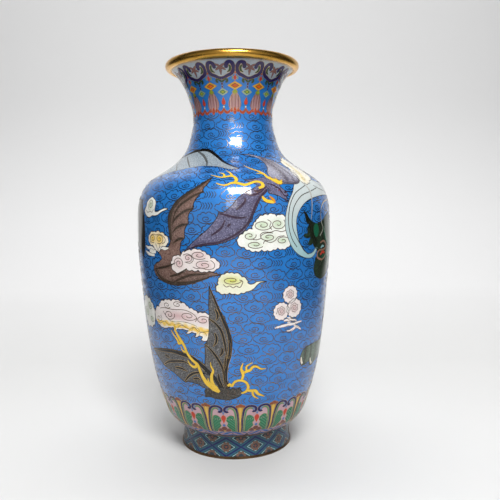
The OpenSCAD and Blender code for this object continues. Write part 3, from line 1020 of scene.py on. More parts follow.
def thicket(spot):
    """A dark green spiked form seen past the ribbon, kept as a plain ornament."""
    points = [
        (42.5, 234.9, 1), (44.6, 232.6), (46.8, 228), (49.6, 225.2), (54.2, 223.2), (60, 224.4, 1),
        (66, 230), (72, 233, 1), (74, 226), (80, 222, 1), (82, 212), (80, 200), (77, 188), (72, 177),
        (65, 171.6), (59, 171.6), (53.4, 175.6), (51.6, 183), (52.8, 190), (54.4, 195), (54, 199),
        (51.2, 202), (49.4, 205.6), (48, 204.2), (45, 204.9, 1), (46.4, 207.8), (47.4, 211.4), (45, 210.8),
        (42.2, 212, 1), (42.4, 214.4), (45, 215), (45, 219.8), (46.4, 222.8), (44.4, 225), (43.6, 229.6),
    ]
    ribs = [
        [(44, 231), (46.6, 226), (48.2, 220), (49.6, 213), (52.4, 206)],
        [(57, 222), (60.6, 214), (64, 206), (69, 198)], [(62, 190), (58, 183), (58, 176)],
    ]
    wing("thorn_green", points, ribs, spot, 3.0)
    spot = spot.at(2)
    dot("emerald", 53.2, 217.3, 4.6, spot, tall=1.4, clip=True)
    strokes("emerald", (
        ([(62.6, 220), (64.4, 212), (67.4, 206), (72, 202)], [2, 5, 4, 2]),
        ([(60, 190), (66, 194), (70, 190), (68, 183)], [2, 4.4, 4.4, 2]),
    ), spot)
    strokes("copper_brown", (
        (
            [(57.5, 205.1), (62, 206.6), (65.6, 203.6), (65, 199.4), (60.6, 198.4), (56.5, 198.6)],
            [1.2, 2, 2, 1.8, 1.6, 1.4],
        ),
        (
            [(56.4, 198.4), (54.4, 195.6), (55.4, 191.4), (60.4, 189.4), (65, 191.6), (66.4, 195)],
            [1.4, 1.8, 2, 2, 1.8, 1.2],
        ),
    ), spot)
    brush("coral", [(58, 194), (61, 196.4), (64.4, 195)], [1.6, 3, 2], spot, "wire_dark")
    brush("teal_pale", [(58.4, 200.2), (60.4, 202), (62.8, 201.4)], [1.4, 2.4, 1.4], spot, "wire_dark")


def paw(spot):
    """The grey-green pad with pale tips at the lower right edge."""
    points = [
        (46.4, 103.6, 1), (49.4, 107.2), (56, 108.8), (66, 109), (78, 107), (80, 98), (74, 92.4),
        (66, 89.4), (61, 87), (57.4, 88.4, 1), (56, 92.4, 1), (53, 91.4), (49.4, 90.4), (46.6, 92, 1),
        (45.6, 98),
    ]
    wing(
        "pad_green", points,
        [
            [(50, 106.6), (50.4, 99), (50, 92)], [(56.4, 108), (57, 100), (56.6, 92)],
            [(65, 108), (65, 98), (64, 90)],
        ],
        spot, 3.0,
    )
    strokes("scarf", (
        ([(46.6, 99), (47, 95.6), (48.4, 92.2)], [1.6, 2.6, 2.4]),
        ([(57.6, 95), (58.4, 91.6), (60.6, 88.6)], [1.6, 2.6, 2.2]),
    ), spot, "wire_brown")


# Each picture and how far forward it lies
PICTURES = (
    (shoulder_wing, 0), (dark_wing, 0), (brown_bat, 0), (rose_cloud, 1), (tailed_cloud, 0),
    (flower_cloud, 1), (white_cloud, 0),
    (ribbon, 1), (thicket, 1), (lemon_cloud, 0), (disc_cloud, 0), (far_cloud, 0), (long_cloud, 0),
    (grey_bat, 1), (purple_bat, 2),
    (antlers, 3), (branches, 3), (paw, 0),
)


def pictures(spot):
    """Everything that one side of the vase shows."""
    for part, level in PICTURES:
        part(spot.at(level))


# ---------------------------------------------------------------- little scrolls all over the ground

# Measures of the little clouds, in millimetres
ROW = 9.8           # height of a row of little clouds
CLOUD = (9.8, 4.5)  # half their width and height
LINK = 2.4          # between the arcs of a chain
SCROLL_WIRE = 0.68  # width of their wires
SPIRAL = (4.7, 2.7)     # half the width and height of their spirals
CHAINED = 0.33      # share of them with a chain of arcs beside them
LOWEST = 64.0       # height of the first row
HIGHEST = 325.0     # height that the last row stays under
SCROLL_CUTS = (90, 130, 170, 205, 245)  # heights where the scrolls are divided into pieces


def cloud_row(around):
    """Little clouds and the number of chain arcs after each, stretched to fill the row."""
    row = []
    total = 0
    while total < around - CLOUD[0]:
        wide = random.uniform(0.9, 1.06)
        links = random.choice((3, 4, 5)) if random.random() < CHAINED else 0
        step = 2 * CLOUD[0] * wide + (LINK * (links + 0.4) if links else random.uniform(0, 1.2))
        row.append((total, wide, links))
        total += step
    return [(at * around / total, wide, links) for at, wide, links in row]


def scroll_paths():
    """Rows of little clouds: a spiral in a scalloped oval, some with a chain of arcs beside them."""
    paths = []
    z0 = LOWEST
    while z0 < HIGHEST:
        r, m = outline(BODY, z0)
        lean = math.sqrt(1 + float(m) ** 2)
        scale = math.radians(1) * float(r)
        first = random.uniform(-180, -150)
        phase = 0.012 * z0
        for at, wide, links in cloud_row(360 * scale):
            u = first + at / scale
            z = z0 + (random.uniform(-0.6, 0.6) + 1.5 * math.sin(3 * math.radians(u) + phase)) / lean
            tall = random.uniform(0.92, 1.04) / lean
            hand = 1 if random.random() < 0.75 else -1
            start = random.uniform(-30, 20) if hand > 0 else random.uniform(160, 210)
            turns = random.uniform(1.45, 1.75)
            rx, rz = SPIRAL[0] * wide, SPIRAL[1] * tall
            paths.append(spiral(u, z - 0.5 * tall, rx, rz, turns, start, hand, scale))
            turn = random.uniform(0, 0.6)
            oval = []
            for i in range(10):
                a = math.pi - (i + turn) * math.pi / 5
                reach = random.uniform(0.84, 0.98)
                x = u + CLOUD[0] * reach * wide * math.cos(a) / scale
                oval.append(
                    (x, z + CLOUD[1] * reach * tall * math.sin(a), 0.2 if math.sin(a) < -0.5 else 0.46)
                )
            paths.append(scallops(oval, 0.4, step=6, scale=scale))
            for i in range(links):
                x = u + (CLOUD[0] * wide + LINK * (i + 0.35)) / scale
                half = 2.8 * tall
                bow = 0.9 * hand / scale
                paths.append(smooth([(x - bow, z - half), (x + bow, z), (x - bow, z + half)]))
        z0 += ROW / lean
    return paths


def scrolls():
    """The scrolls that no picture hides, in a few pieces by height and side."""
    paths = [resample(BODY, p, 0.8) for p in scroll_paths()]
    every = np.vstack(paths)
    hidden = behind(every, -1) | (every[:, 1] < LAPPET_EDGE - 1.5) | (every[:, 1] > TASSEL_EDGE)
    at = 0
    for path in paths:
        band = sum(path[0, 1] > z for z in SCROLL_CUTS) + 1
        side = "front" if abs((path[0, 0] + 180) % 360 - 180) < 90 else "back"
        for run in runs(path, hidden[at:at + len(path)]):
            strip(f"scroll_{side}_{band}", run, Spot(), SCROLL_WIRE, 0.0, WIRE_TOP)
        at += len(path)


# ---------------------------------------------------------------- bands round the neck, the root and the foot

def mirrored(points):
    """The points of a right half, turned over to the left and run backwards."""
    return [(-p[0],) + tuple(p[1:]) for p in points][::-1]


def both(middle, draw):
    """Draw on the right of a unit and, mirrored, on its left."""
    for mirror in (False, True):
        draw(Spot(BODY, middle, mirror))


def symmetric(half):
    """A closed outline from its right half, which starts and ends on the middle line."""
    return smooth(half + mirrored(half[1:-1]), closed=True, step=4)


def cell(name, path, spot, lift=INLAY, edge="wire_gold", width=FINE_WIRE, tint=None, grid=2.0):
    """A small cell of enamel with its wire."""
    fill(name, path, spot, lift, tint, grid=grid)
    if edge:
        wire(edge, path, spot, width, closed=True, spacing=0.7)


def ruyi_band():
    """Ruyi heads under the gilt rim, with cross beads and green curls between and below them."""
    ring("ruyi_white", BODY, 366.8, BAND_TOP - 0.1, 0.02)
    for k in range(12):
        middle = 19.5 + 30 * k
        spot = Spot(BODY, middle)
        head = symmetric([
            (0, 368.9, 1), (4.6, 369.3), (7.2, 370.2), (10.4, 370), (13.4, 367.2), (13.9, 364.2),
            (12.4, 361), (9.2, 358.9), (6.2, 358.5, 1), (4.2, 356.9), (0, 356, 1),
        ])
        fill("ruyi_white", head, spot, FIELD)
        wedge = symmetric([(0, 360.8, 1), (2.6, 360.4), (6, 358.7), (2.6, 356.4), (0, 355.8, 1)])
        fill("ruyi_white", wedge, spot, FIELD)

        def side(s):
            rim = [
                (5.9, 366.4), (6.7, 368.3), (8.8, 369.4), (11.4, 368.8), (13, 366), (12.8, 362.8),
                (10.6, 360.2), (7, 358.9), (4.8, 357.9), (2.3, 357.1), (0, 356.9),
            ]
            brush(
                "ruyi_navy", rim, [4.6, 4.2, 3.8, 3.8, 3.9, 3.9, 3.7, 3.3, 3.2, 3.1, 3.0], s, "wire_gold",
                INLAY, 0.8,
            )
            dot("ruyi_navy", 6.0, 366.0, 1.9, s, None, INLAY, 0.8)
            brush(
                "leaf_dark", [(8.4, 367.2), (10, 365.4), (9.2, 362.9), (6.4, 361.6)], [1.6, 2.4, 2.2, 0.6],
                s, "wire_gold", INLAY, 0.7,
            )
            curl = [
                (0, 353.7), (1.4, 354.4), (2.9, 355.7), (4.9, 356.2), (6.3, 355.2), (5.7, 353.9),
                (4.2, 353.9),
            ]
            brush("leaf_dark", curl, [1.5, 1.6, 1.7, 1.7, 1.7, 1.8, 2.2], s, "wire_brown", INLAY, 0.7)

        both(middle, side)
        for tip in ((-4.8, 368.4), (4.8, 368.4), (-5.4, 363.4), (5.4, 363.4), (0, 359.4)):
            petal = [(0, 366), (tip[0] * 0.5, 366 + (tip[1] - 366) * 0.5), tip]
            brush("fleur", petal, [1.6, 2.3, 0.5], spot, "wire_dark", DETAIL, 0.7)
        dot("ruyi_navy", 0, 352.0, 1.0, spot, "wire_gold", edge_width=0.3)
        dot("ruyi_navy", 0, 349.6, 0.9, spot, "wire_gold", edge_width=0.3)
        cross = Spot(BODY, middle - 15)
        dot("coral", 0, 361, 0.75, cross, "wire_gold", tall=1.2, edge_width=0.3)
        bead = symmetric([(0, 360, 1), (0.9, 358.6), (1.9, 357), (0.9, 355.6), (0, 354.2, 1)])
        cell("coral", bead, cross, width=0.4)
        for sign in (-1, 1):
            leaf = [(sign * 2.2, 358.6), (sign * 3.2, 357), (sign * 2.2, 355.4)]
            brush("lime", leaf, [0.5, 1.1, 0.5], cross, None, INLAY, 0.6)
    round_wire(BODY, 371.2)


def diamond(z, wide, tall, scale=1.0):
    """The four corners of a diamond on the middle line."""
    return [(0, z + tall * scale), (wide * scale, z), (0, z - tall * scale), (-wide * scale, z)]


def straight(points, count=5):
    """A closed outline with straight legs, divided so that they can follow the skin."""
    pts = np.array(points, float)
    ends = np.vstack([pts, pts[:1]])
    return np.array([a + (b - a) * t / count for a, b in zip(ends[:-1], ends[1:]) for t in range(count)])


def tassel_band():
    """Diamonds, hanging tassels and drops, over a red scalloped fringe."""
    for k in range(12):
        a = Spot(BODY, 4.5 + 30 * k)
        b = Spot(BODY, 19.5 + 30 * k)
        for spot, z, wide, tall, looks in (
            (a, 350.5, 8.7, 3.6, ("orange", "rust", "orange_core")),
            (b, 345.2, 6.6, 3.1, ("mint", "leaf_dark", "lime")),
        ):
            for n, (scale, look) in enumerate(zip((1, 0.62, 0.42), looks)):
                path = straight(diamond(z, wide, tall, scale))
                cell(look, path, spot, FIELD + 0.02 * n, "wire_gold" if n == 0 else None, 0.4, grid=1.6)
        pod = symmetric(
            [
                (0, 345.4, 1), (2.4, 344.4), (4.9, 341.8), (7.2, 338.2), (8.3, 334.8), (7.6, 331.8),
                (5.2, 329.8), (0, 328.6, 1),
            ]
        )
        cell("petal", pod, a, FIELD, tint=lambda uz: 0.5 + 0.5 * np.cos(uz[:, 0] * 2 * np.pi / 2.9), grid=1.2)
        for x in (-5.4, -3.3, -1.1, 1.1, 3.3, 5.4):
            wire(
                "wire_gold",
                smooth([(x * 0.2, 344.4), (x * 0.75, 340.6), (x * 1.2, 335.6), (x * 1.1, 330.8)]), a, 0.42,
            )
        knob = symmetric(
            [(0, 347.4, 1), (1.7, 346.6), (3.2, 345.2), (2.4, 343.8), (1.2, 344.4), (0, 342.4, 1)]
        )
        cell("lime", knob, a, DETAIL, grid=1.6)
        for x, top, low, wide in (
            (0, 332.4, 325.4, 2.3), (-4.4, 331.6, 327.2, 1.7), (4.4, 331.6, 327.2, 1.7),
        ):
            middle = (top + low) / 2
            tip = [
                (x, top, 1), (x + wide, middle - 0.4), (x + wide * 0.6, low + 0.5), (x, low),
                (x - wide * 0.6, low + 0.5), (x - wide, middle - 0.4),
            ]
            cell("crimson", smooth(tip, closed=True, step=4), a, DETAIL, width=0.4, grid=1.6)
        drop = symmetric([(0, 341, 1), (1.2, 339), (2.5, 336.6), (1.9, 334.6), (0, 333.9, 1)])
        cell("coral", drop, b, width=0.4)
        dot("ivory", 0, 332.3, 0.85, b, "wire_gold", edge_width=0.35)
        base = symmetric([(0, 331.4, 1), (1.6, 330.2), (2.4, 328.4), (0, 328.2, 1)])
        cell("crimson", base, b, FIELD, width=0.4)

        def side(s):
            hang = [(0.8, 330.2), (1.8, 328.2), (4.3, 326.9), (7, 327.6), (8.6, 329.8)]
            brush("crimson", hang, [1.2, 2.0, 2.5, 2.0, 1.0], s, "wire_gold", INLAY, 0.7)

        both(19.5 + 30 * k, side)


def lappet_band():
    """Arched panels holding a lotus, with yellow columns between them."""
    for k in range(15):
        c = Spot(BODY, 4.2 + 24 * k)
        column = straight([(1.9, 57.8), (0.75, 30.8), (-0.75, 30.8), (-1.9, 57.8)], 8)
        cell("column", column, c, INLAY, tint=lambda uz: np.clip(1 - np.abs(uz[:, 0]), 0, 1), grid=1.2)
        fan = scallops(
            [
                (-3.1, 57.6, 0.5), (-1.6, 60.2), (1.6, 60.2, 0.5), (3.1, 57.6, 0), (1.9, 57.2, 0),
                (-1.9, 57.2, 0),
            ],
            0.36, scale=1.3,
        )
        cell("rust", fan, c)
        middle = 16.2 + 24 * k
        spot = Spot(BODY, middle)
        panel = symmetric([
            (0, 51.4, 1), (2.6, 52.8), (3.6, 55.6), (6.6, 57.6), (9, 55.6), (9.9, 50), (10.4, 40),
            (10.6, 30.8, 1), (0, 30.8, 1),
        ])
        fill("blush", panel, spot, 0.03, grid=2.4)

        def side(s):
            arch = [
                (10.7, 30.8), (10.6, 40), (10.2, 49), (9.4, 55), (7.6, 58), (5.4, 58.9), (2.9, 58.4),
                (1.2, 56.6), (1.1, 54.2), (2.4, 52.9), (3.5, 53.6),
            ]
            brush(
                "navy", arch, [1.6, 1.8, 2.0, 2.3, 2.3, 2.3, 2.3, 2.2, 2.2, 2.6, 2.4], s, "wire_gold",
                INLAY, 0.8,
            )
            band = [(9.3, 30.8), (9.2, 40), (8.8, 48), (7.9, 54), (6.2, 56.5), (4.4, 56.6), (3.2, 55.2)]
            brush("leaf_pale", band, [1.2, 1.4, 1.6, 1.9, 1.9, 1.7, 1.2], s, "wire_gold", FIELD, 0.8)
            leaf = smooth([
                (3.6, 48.6, 1), (5.4, 49.6), (7.4, 48.8, 1), (8.3, 44), (8.6, 37), (8.7, 30.9, 1),
                (6.2, 30.9, 1), (4.9, 32.8), (3.4, 36), (2, 38.6), (2.9, 41), (1.8, 43.6), (2.2, 46.6),
            ], closed=True, step=4)
            cell(
                "emerald", leaf, s, FIELD,
                tint=lambda uz: 0.5 + 0.5 * np.cos((uz[:, 1] + 0.3 * uz[:, 0] ** 1.5) * 2 * np.pi / 2.9),
                grid=0.9,
            )

        both(middle, side)
        drop = symmetric([(0, 49.8, 1), (1.3, 48.6), (1.7, 46.2), (0.9, 43.4), (0, 41, 1)])
        cell("coral", drop, spot, DETAIL)
        dot("slate", 0, 38.9, 1.5, spot, "wire_gold", DETAIL)
        dot("slate", 0, 51.2, 0.9, spot, "wire_gold", DETAIL, 1.3)
        lotus = symmetric(
            [(0, 37.4, 1), (1.5, 36.8), (2.1, 35.2, 1), (4.2, 35), (5.4, 32.8), (4.2, 31.4), (0, 30.9, 1)]
        )
        cell("lotus", lotus, spot, DETAIL, grid=1.6)
        for sign in (-1, 1):
            wire("wire_gold", smooth([(sign * 2.1, 35.2), (sign * 1.2, 33), (sign * 0.5, 31.2)]), spot, 0.4)
        dot("orange", 0, 32, 1.0, spot, "wire_gold", DETAIL + 0.02)
    for k in range(30):
        s = Spot(BODY, 4.2 + 12 * k, k % 2 == 1)
        wave = smooth(
            [(-6, 31, 1), (6, 31, 1), (6, 28.6), (4.4, 26), (2, 24.8), (-2, 24.8), (-4.4, 26), (-6, 28.6)],
            closed=True, step=4,
        )
        fill("blush", wave, s, FIELD, grid=1.6)
        for path, widths in (
            ([(-6, 30.4), (-3.4, 30), (-1, 28.4), (1.4, 27), (4, 26.8)], (2.0, 3.2, 3.4, 2.6, 0.8)),
            ([(0.4, 30.6), (2.6, 30.2), (4.4, 29), (6, 28.2)], (1.4, 2.4, 2.2, 0.9)),
            ([(-5.8, 27.2), (-4, 26), (-1.6, 25.4), (0.6, 25.6)], (1.2, 2.4, 2.0, 0.7)),
        ):
            brush("slate", path, widths, s, "wire_gold", INLAY, 0.7)
        wire(
            "wire_dark", smooth([(-6, 28.6), (-4.4, 26), (-2, 24.8), (2, 24.8), (4.4, 26), (6, 28.6)]), s,
            0.5,
        )
    round_wire(BODY, FRINGE_EDGE)


LOZENGE = (15, 8.6)         # half its width in degrees and half its height
FOOT_MIDDLE = 11.2
FOOT_ENAMEL = (2.2, 21.4)   # where the foot's lozenges are cut off level
ROSETTE_SPAN = (3, 20.8)    # petals outside it are left out
ROSETTE = 1.25              # size of the rosettes


def lozenge(z, scale):
    """A lozenge round height z."""
    levels = [max(FOOT_ENAMEL[0], z - LOZENGE[1] * scale), min(FOOT_ENAMEL[1], z + LOZENGE[1] * scale)]
    if levels[0] < z < levels[1]:
        levels.insert(1, z)
    right = [(LOZENGE[0] * (scale - abs(level - z) / LOZENGE[1]), level) for level in levels]
    left = [(-u, level) for u, level in right[::-1]]
    return [p for i, p in enumerate(right + left) if i == 0 or p != (right + left)[i - 1]]


def foot_band():
    """Teal lozenges between navy lines, with a rosette in each."""
    layers = (("teal", 0.97), ("teal_dark", 0.70), ("teal_pale", 0.62), ("teal_dark", 0.54))
    for k in range(24):
        s = Spot(FOOT, 20.7 + 15 * k)
        for z in (FOOT_MIDDLE,) if k % 2 == 0 else (FOOT_MIDDLE + LOZENGE[1], FOOT_MIDDLE - LOZENGE[1]):
            for n, (look, scale) in enumerate(layers):
                fill(look, straight(lozenge(z, scale), 4), s, FIELD + 0.01 * n, grid=2.4)
            if k % 2 == 0:
                path = s.move(straight(diamond(z, *LOZENGE), 10))
                strip("foot_line", path, s, 1.4, INLAY, INLAY + STROKE_RISE, closed=True)
            rosette(s, z)
    round_wire(FOOT, 21.6)
    round_wire(FOOT, 2.0)


def rosette(spot, z):
    """Eight petals round a red eye."""
    low, high = ROSETTE_SPAN
    for i in range(8):
        a = i * math.pi / 4 + math.pi / 8
        y = z + 2.75 * ROSETTE * math.sin(a)
        if low < y < high:
            x = 3.1 * ROSETTE * math.cos(a)
            dot("rose_brown", x, y, 1.1 * ROSETTE, spot, "wire_brown", DETAIL, edge_width=0.3)
    if low < z < high:
        dot("lotus", 0, z, 0.9 * ROSETTE, spot, "wire_brown", DETAIL + 0.01, edge_width=0.35)


def round_grid(stations, low, high, most):
    """Places right round the vase in rows from low to high, and the number of rows."""
    z = heights(stations, low, high, most)
    u = np.linspace(0, 360, STEPS + 1)[:-1]
    return np.stack([np.tile(u, len(z)), np.repeat(z, STEPS)], 1), len(z)


def ring(name, stations, low, high, lift):
    """A plain band of enamel right round the vase."""
    uz, rows = round_grid(stations, low, high, 1.2)
    p, normals = place(stations, uz, lift)
    i = np.arange(STEPS)
    j = (i + 1) % STEPS
    faces = []
    for row in range(rows - 1):
        a, b = row * STEPS, (row + 1) * STEPS
        faces += [np.stack([a + i, a + j, b + j], 1), np.stack([a + i, b + j, b + i], 1)]
    layer(name).add(p, normals, np.vstack(faces), np.zeros(len(p)))


def round_wire(stations, z):
    """A gilt wire right round the vase."""
    u = np.linspace(0, 360, 301)[:-1]
    path = np.stack([u, np.full(len(u), z)], 1)
    WIRES.append(("wire_gold", path, Spot(stations), 0.5, True))


# ---------------------------------------------------------------- the enamel under the pictures

ENAMEL = 0.8    # thickness drawn, millimetres


def ground(name, node, slot, stations, low, high, look):
    """One enamelled zone as a closed ring, in place of its plain CAD node."""
    uz, rows = round_grid(stations, low, high, 1.4)
    outer, normals = place(stations, uz, 0.0)
    inner, _ = place(stations, uz, -ENAMEL)
    points = np.vstack([outer, inner])
    normals = np.vstack([normals, -normals])
    i = np.arange(STEPS)
    j = (i + 1) % STEPS
    half = len(outer)
    faces = []
    for row in range(rows - 1):
        a, b = row * STEPS, (row + 1) * STEPS
        faces.append(np.stack([a + i, a + j, b + j, b + i], 1))
        faces.append(half + np.stack([b + i, b + j, a + j, a + i], 1))
    top = (rows - 1) * STEPS
    faces.append(np.stack([half + i, half + j, j, i], 1))
    faces.append(np.stack([top + i, top + j, half + top + j, half + top + i], 1))
    piece = make(name, points, normals, np.vstack(faces), np.zeros(len(points)), look, slot)
    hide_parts(node)


def make(name, points, normals, faces, tints, look, slot):
    """A smooth mesh with given normals and a tint at each point."""
    mesh = bpy.data.meshes.new(name)
    mesh.from_pydata(points.tolist(), [], faces.tolist())
    mesh.polygons.foreach_set("use_smooth", [True] * len(mesh.polygons))
    attribute = mesh.attributes.new("tint", "FLOAT", "POINT")
    attribute.data.foreach_set("value", np.asarray(tints, np.float32))
    mesh.update()
    mesh.normals_split_custom_set_from_vertices(normals.tolist())
    obj = bpy.data.objects.new(name, mesh)
    bpy.context.scene.collection.objects.link(obj)
    mesh.materials.append(material(look))
    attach(obj, "root")
    return obj


# ---------------------------------------------------------------- materials

# Enamels: colour, second colour reached at tint 1 or None, share of dark specks, share of pale specks
ENAMELS = {
    "ground_blue": ((0.014, 0.196, 0.600), None, 0.12, 0.00),
    # The grey-brown ground below the fringe's waves, down to the crease, is painted shade in the crease
    "fringe_painted_shade": ((0.160, 0.130, 0.130), None, 0.30, 0.10),
    # foot_navy, and the teals and foot_line used on the foot, are drawn darker than the foot's enamels are:
    # painted shade under the overhanging body
    "foot_navy": ((0.030, 0.070, 0.150), None, 0.12, 0.00),
    "cloud_pink": ((0.880, 0.810, 0.780), (0.720, 0.480, 0.480), 0.12, 0.00),
    "cloud_green": ((0.900, 0.895, 0.840), (0.560, 0.680, 0.460), 0.10, 0.00),
    "cloud_gold": ((0.930, 0.900, 0.820), (0.900, 0.580, 0.060), 0.10, 0.00),
    "cloud_lemon": ((0.850, 0.840, 0.660), (0.620, 0.640, 0.080), 0.08, 0.00),
    "ivory": ((0.850, 0.820, 0.620), None, 0.05, 0.00),
    "ribbon": ((0.360, 0.560, 0.580), (0.580, 0.640, 0.635), 0.08, 0.00),
    "scarf": ((0.800, 0.760, 0.640), (0.780, 0.640, 0.280), 0.12, 0.00),
    "bat_brown": ((0.235, 0.140, 0.115), (0.085, 0.055, 0.040), 0.65, 0.30),
    "band_brown": ((0.060, 0.042, 0.030), None, 0.60, 0.22),
    "bat_purple": ((0.140, 0.134, 0.225), (0.060, 0.048, 0.095), 0.60, 0.50),
    "band_purple": ((0.050, 0.030, 0.060), None, 0.40, 0.15),
    "bat_mauve": ((0.310, 0.310, 0.400), (0.090, 0.070, 0.110), 0.50, 0.30),
    "bat_grey": ((0.105, 0.103, 0.104), (0.060, 0.056, 0.054), 0.80, 0.50),
    "bat_body": ((0.075, 0.066, 0.053), (0.040, 0.032, 0.024), 0.95, 0.30),
    "bat_black": ((0.035, 0.032, 0.030), (0.010, 0.009, 0.008), 0.50, 0.15),
    "wing_pale": ((0.290, 0.350, 0.400), (0.190, 0.230, 0.260), 0.50, 0.30),
    "wing_grey": ((0.085, 0.095, 0.100), None, 0.40, 0.20),
    "wing_black": ((0.005, 0.004, 0.003), None, 0.10, 0.00),
    "thorn_green": ((0.020, 0.040, 0.020), (0.008, 0.010, 0.006), 0.50, 0.12),
    "pad_green": ((0.150, 0.210, 0.150), (0.050, 0.060, 0.045), 0.60, 0.20),
    "thread": ((0.520, 0.500, 0.450), None, 0.10, 0.00),
    "antler": ((0.830, 0.540, 0.050), None, 0.12, 0.00),
    "antler_orange": ((0.700, 0.280, 0.020), None, 0.12, 0.00),
    "copper_brown": ((0.330, 0.180, 0.120), None, 0.20, 0.00),
    "emerald": ((0.012, 0.110, 0.055), (0.075, 0.300, 0.150), 0.15, 0.00),
    "leaf_dark": ((0.030, 0.085, 0.035), None, 0.15, 0.00),
    "leaf_pale": ((0.110, 0.270, 0.150), None, 0.15, 0.00),
    "mint": ((0.300, 0.480, 0.300), None, 0.10, 0.00),
    "lime": ((0.330, 0.400, 0.040), None, 0.10, 0.00),
    # The teals are darkened with the rest of the foot: painted shade under the overhanging body
    "teal": ((0.018, 0.095, 0.150), None, 0.20, 0.00),
    "teal_dark": ((0.018, 0.030, 0.040), None, 0.30, 0.06),
    "teal_pale": ((0.280, 0.520, 0.540), None, 0.25, 0.00),
    "orange": ((0.820, 0.430, 0.040), None, 0.10, 0.00),
    "orange_core": ((0.700, 0.130, 0.012), None, 0.10, 0.00),
    "coral": ((0.580, 0.055, 0.030), None, 0.10, 0.00),
    "crimson": ((0.400, 0.060, 0.030), None, 0.15, 0.00),
    "rust": ((0.300, 0.070, 0.025), None, 0.15, 0.00),
    "rose_brown": ((0.170, 0.085, 0.060), None, 0.25, 0.05),
    "lotus": ((0.200, 0.060, 0.045), None, 0.20, 0.00),
    "fleur": ((0.300, 0.130, 0.110), None, 0.20, 0.00),
    "petal": ((0.170, 0.050, 0.060), (0.640, 0.400, 0.400), 0.12, 0.00),
    "blush": ((0.590, 0.370, 0.420), None, 0.10, 0.00),
    "slate": ((0.090, 0.190, 0.480), None, 0.12, 0.00),
    "navy": ((0.012, 0.013, 0.090), None, 0.08, 0.00),
    # The foot's navy line is darkened with the rest of the foot: painted shade under the overhanging body
    "foot_line": ((0.006, 0.006, 0.090), None, 0.08, 0.00),
    "column": ((0.620, 0.330, 0.030), (0.840, 0.600, 0.140), 0.10, 0.00),
    "ruyi_navy": ((0.035, 0.020, 0.100), None, 0.08, 0.00),
    # ruyi_white is white enamel drawn pale blue-grey, darker than the clouds' white: partly its own tone,
    # partly painted shade under the overhanging gilt rim
    "ruyi_white": ((0.500, 0.560, 0.600), None, 0.14, 0.00),
    "counter_blue": ((0.060, 0.230, 0.380), None, 0.20, 0.05),
}
# Clear enamels let the bright copper under them show: how much light comes back from it
SHEER = {"ground_blue": 0.2}
# Metals: colour, tarnished colour, roughness, share of tarnish
METALS = {
    "gilt": ((0.700, 0.385, 0.070), (0.520, 0.270, 0.045), 0.25, 0.12),
    # gilt_foot is drawn much darker than gilt: partly tarnish, partly painted shade under the overhanging
    # body
    "gilt_foot": ((0.200, 0.120, 0.055), (0.080, 0.048, 0.028), 0.34, 0.65),
    "wire_gold": ((0.560, 0.380, 0.160), (0.280, 0.170, 0.070), 0.30, 0.50),
    "wire_brown": ((0.160, 0.095, 0.060), (0.085, 0.052, 0.034), 0.30, 0.50),
    "wire_scroll": ((0.200, 0.155, 0.110), (0.085, 0.068, 0.052), 0.24, 0.45),
    "wire_dark": ((0.060, 0.045, 0.035), (0.030, 0.022, 0.018), 0.42, 0.50),
    "copper": ((0.640, 0.290, 0.170), (0.300, 0.130, 0.080), 0.34, 0.45),
    "solder": ((0.540, 0.520, 0.480), (0.360, 0.340, 0.310), 0.42, 0.40),
}
# Noise scales, per metre: how fine each pattern is
CLOUDING = 70
DARK_SPECKS = 820
PALE_SPECKS = 900
POLISH = 130
RIPPLE = 90
TARNISH = 60
SCRATCHES = 150
MADE = {}       # materials made so far, by look


def shader(name):
    """A new node material, its node tree and its Principled shader."""
    m = bpy.data.materials.new(name)
    m.use_nodes = True
    return m, m.node_tree, m.node_tree.nodes["Principled BSDF"]


def put(node, values):
    """Set constant inputs of a node by their names."""
    for key, value in values.items():
        node.inputs[key].default_value = value


def noise(tree, where, scale, detail, rough=0.55):
    """Smooth noise from 0 to 1."""
    n = tree.nodes.new("ShaderNodeTexNoise")
    put(n, {"Scale": scale, "Detail": detail, "Roughness": rough})
    tree.links.new(where, n.inputs["Vector"])
    return n.outputs["Fac"]


def spread(tree, value, low, high, to_low, to_high):
    """A value's range from low to high, stretched to another range and held there."""
    n = tree.nodes.new("ShaderNodeMapRange")
    put(n, {"From Min": low, "From Max": high, "To Min": to_low, "To Max": to_high})
    tree.links.new(value, n.inputs["Value"])
    return n.outputs["Result"]


def blend(tree, factor, a, b):
    """A mix of two colours, each either a constant or an output."""
    n = tree.nodes.new("ShaderNodeMix")
    n.data_type = "RGBA"
    tree.links.new(factor, n.inputs["Factor"])
    for socket, value in ((n.inputs[6], a), (n.inputs[7], b)):
        if isinstance(value, tuple):
            socket.default_value = value + (1.0,)
        else:
            tree.links.new(value, socket)
    return n.outputs[2]


def arithmetic(tree, operation, a, b=0.0):
    """One sum on a value and another value or number."""
    n = tree.nodes.new("ShaderNodeMath")
    n.operation = operation
    tree.links.new(a, n.inputs[0])
    if isinstance(b, float):
        n.inputs[1].default_value = b
    else:
        tree.links.new(b, n.inputs[1])
    return n.outputs[0]


def bump(tree, shade, height, strength, distance):
    """Fine relief from a height value, felt by the shader's normal."""
    n = tree.nodes.new("ShaderNodeBump")
    put(n, {"Strength": strength, "Distance": distance})
    tree.links.new(height, n.inputs["Height"])
    tree.links.new(n.outputs["Normal"], shade.inputs["Normal"])


def darker(colour, k):
    """A colour times a number."""
    return tuple(c * k for c in colour)


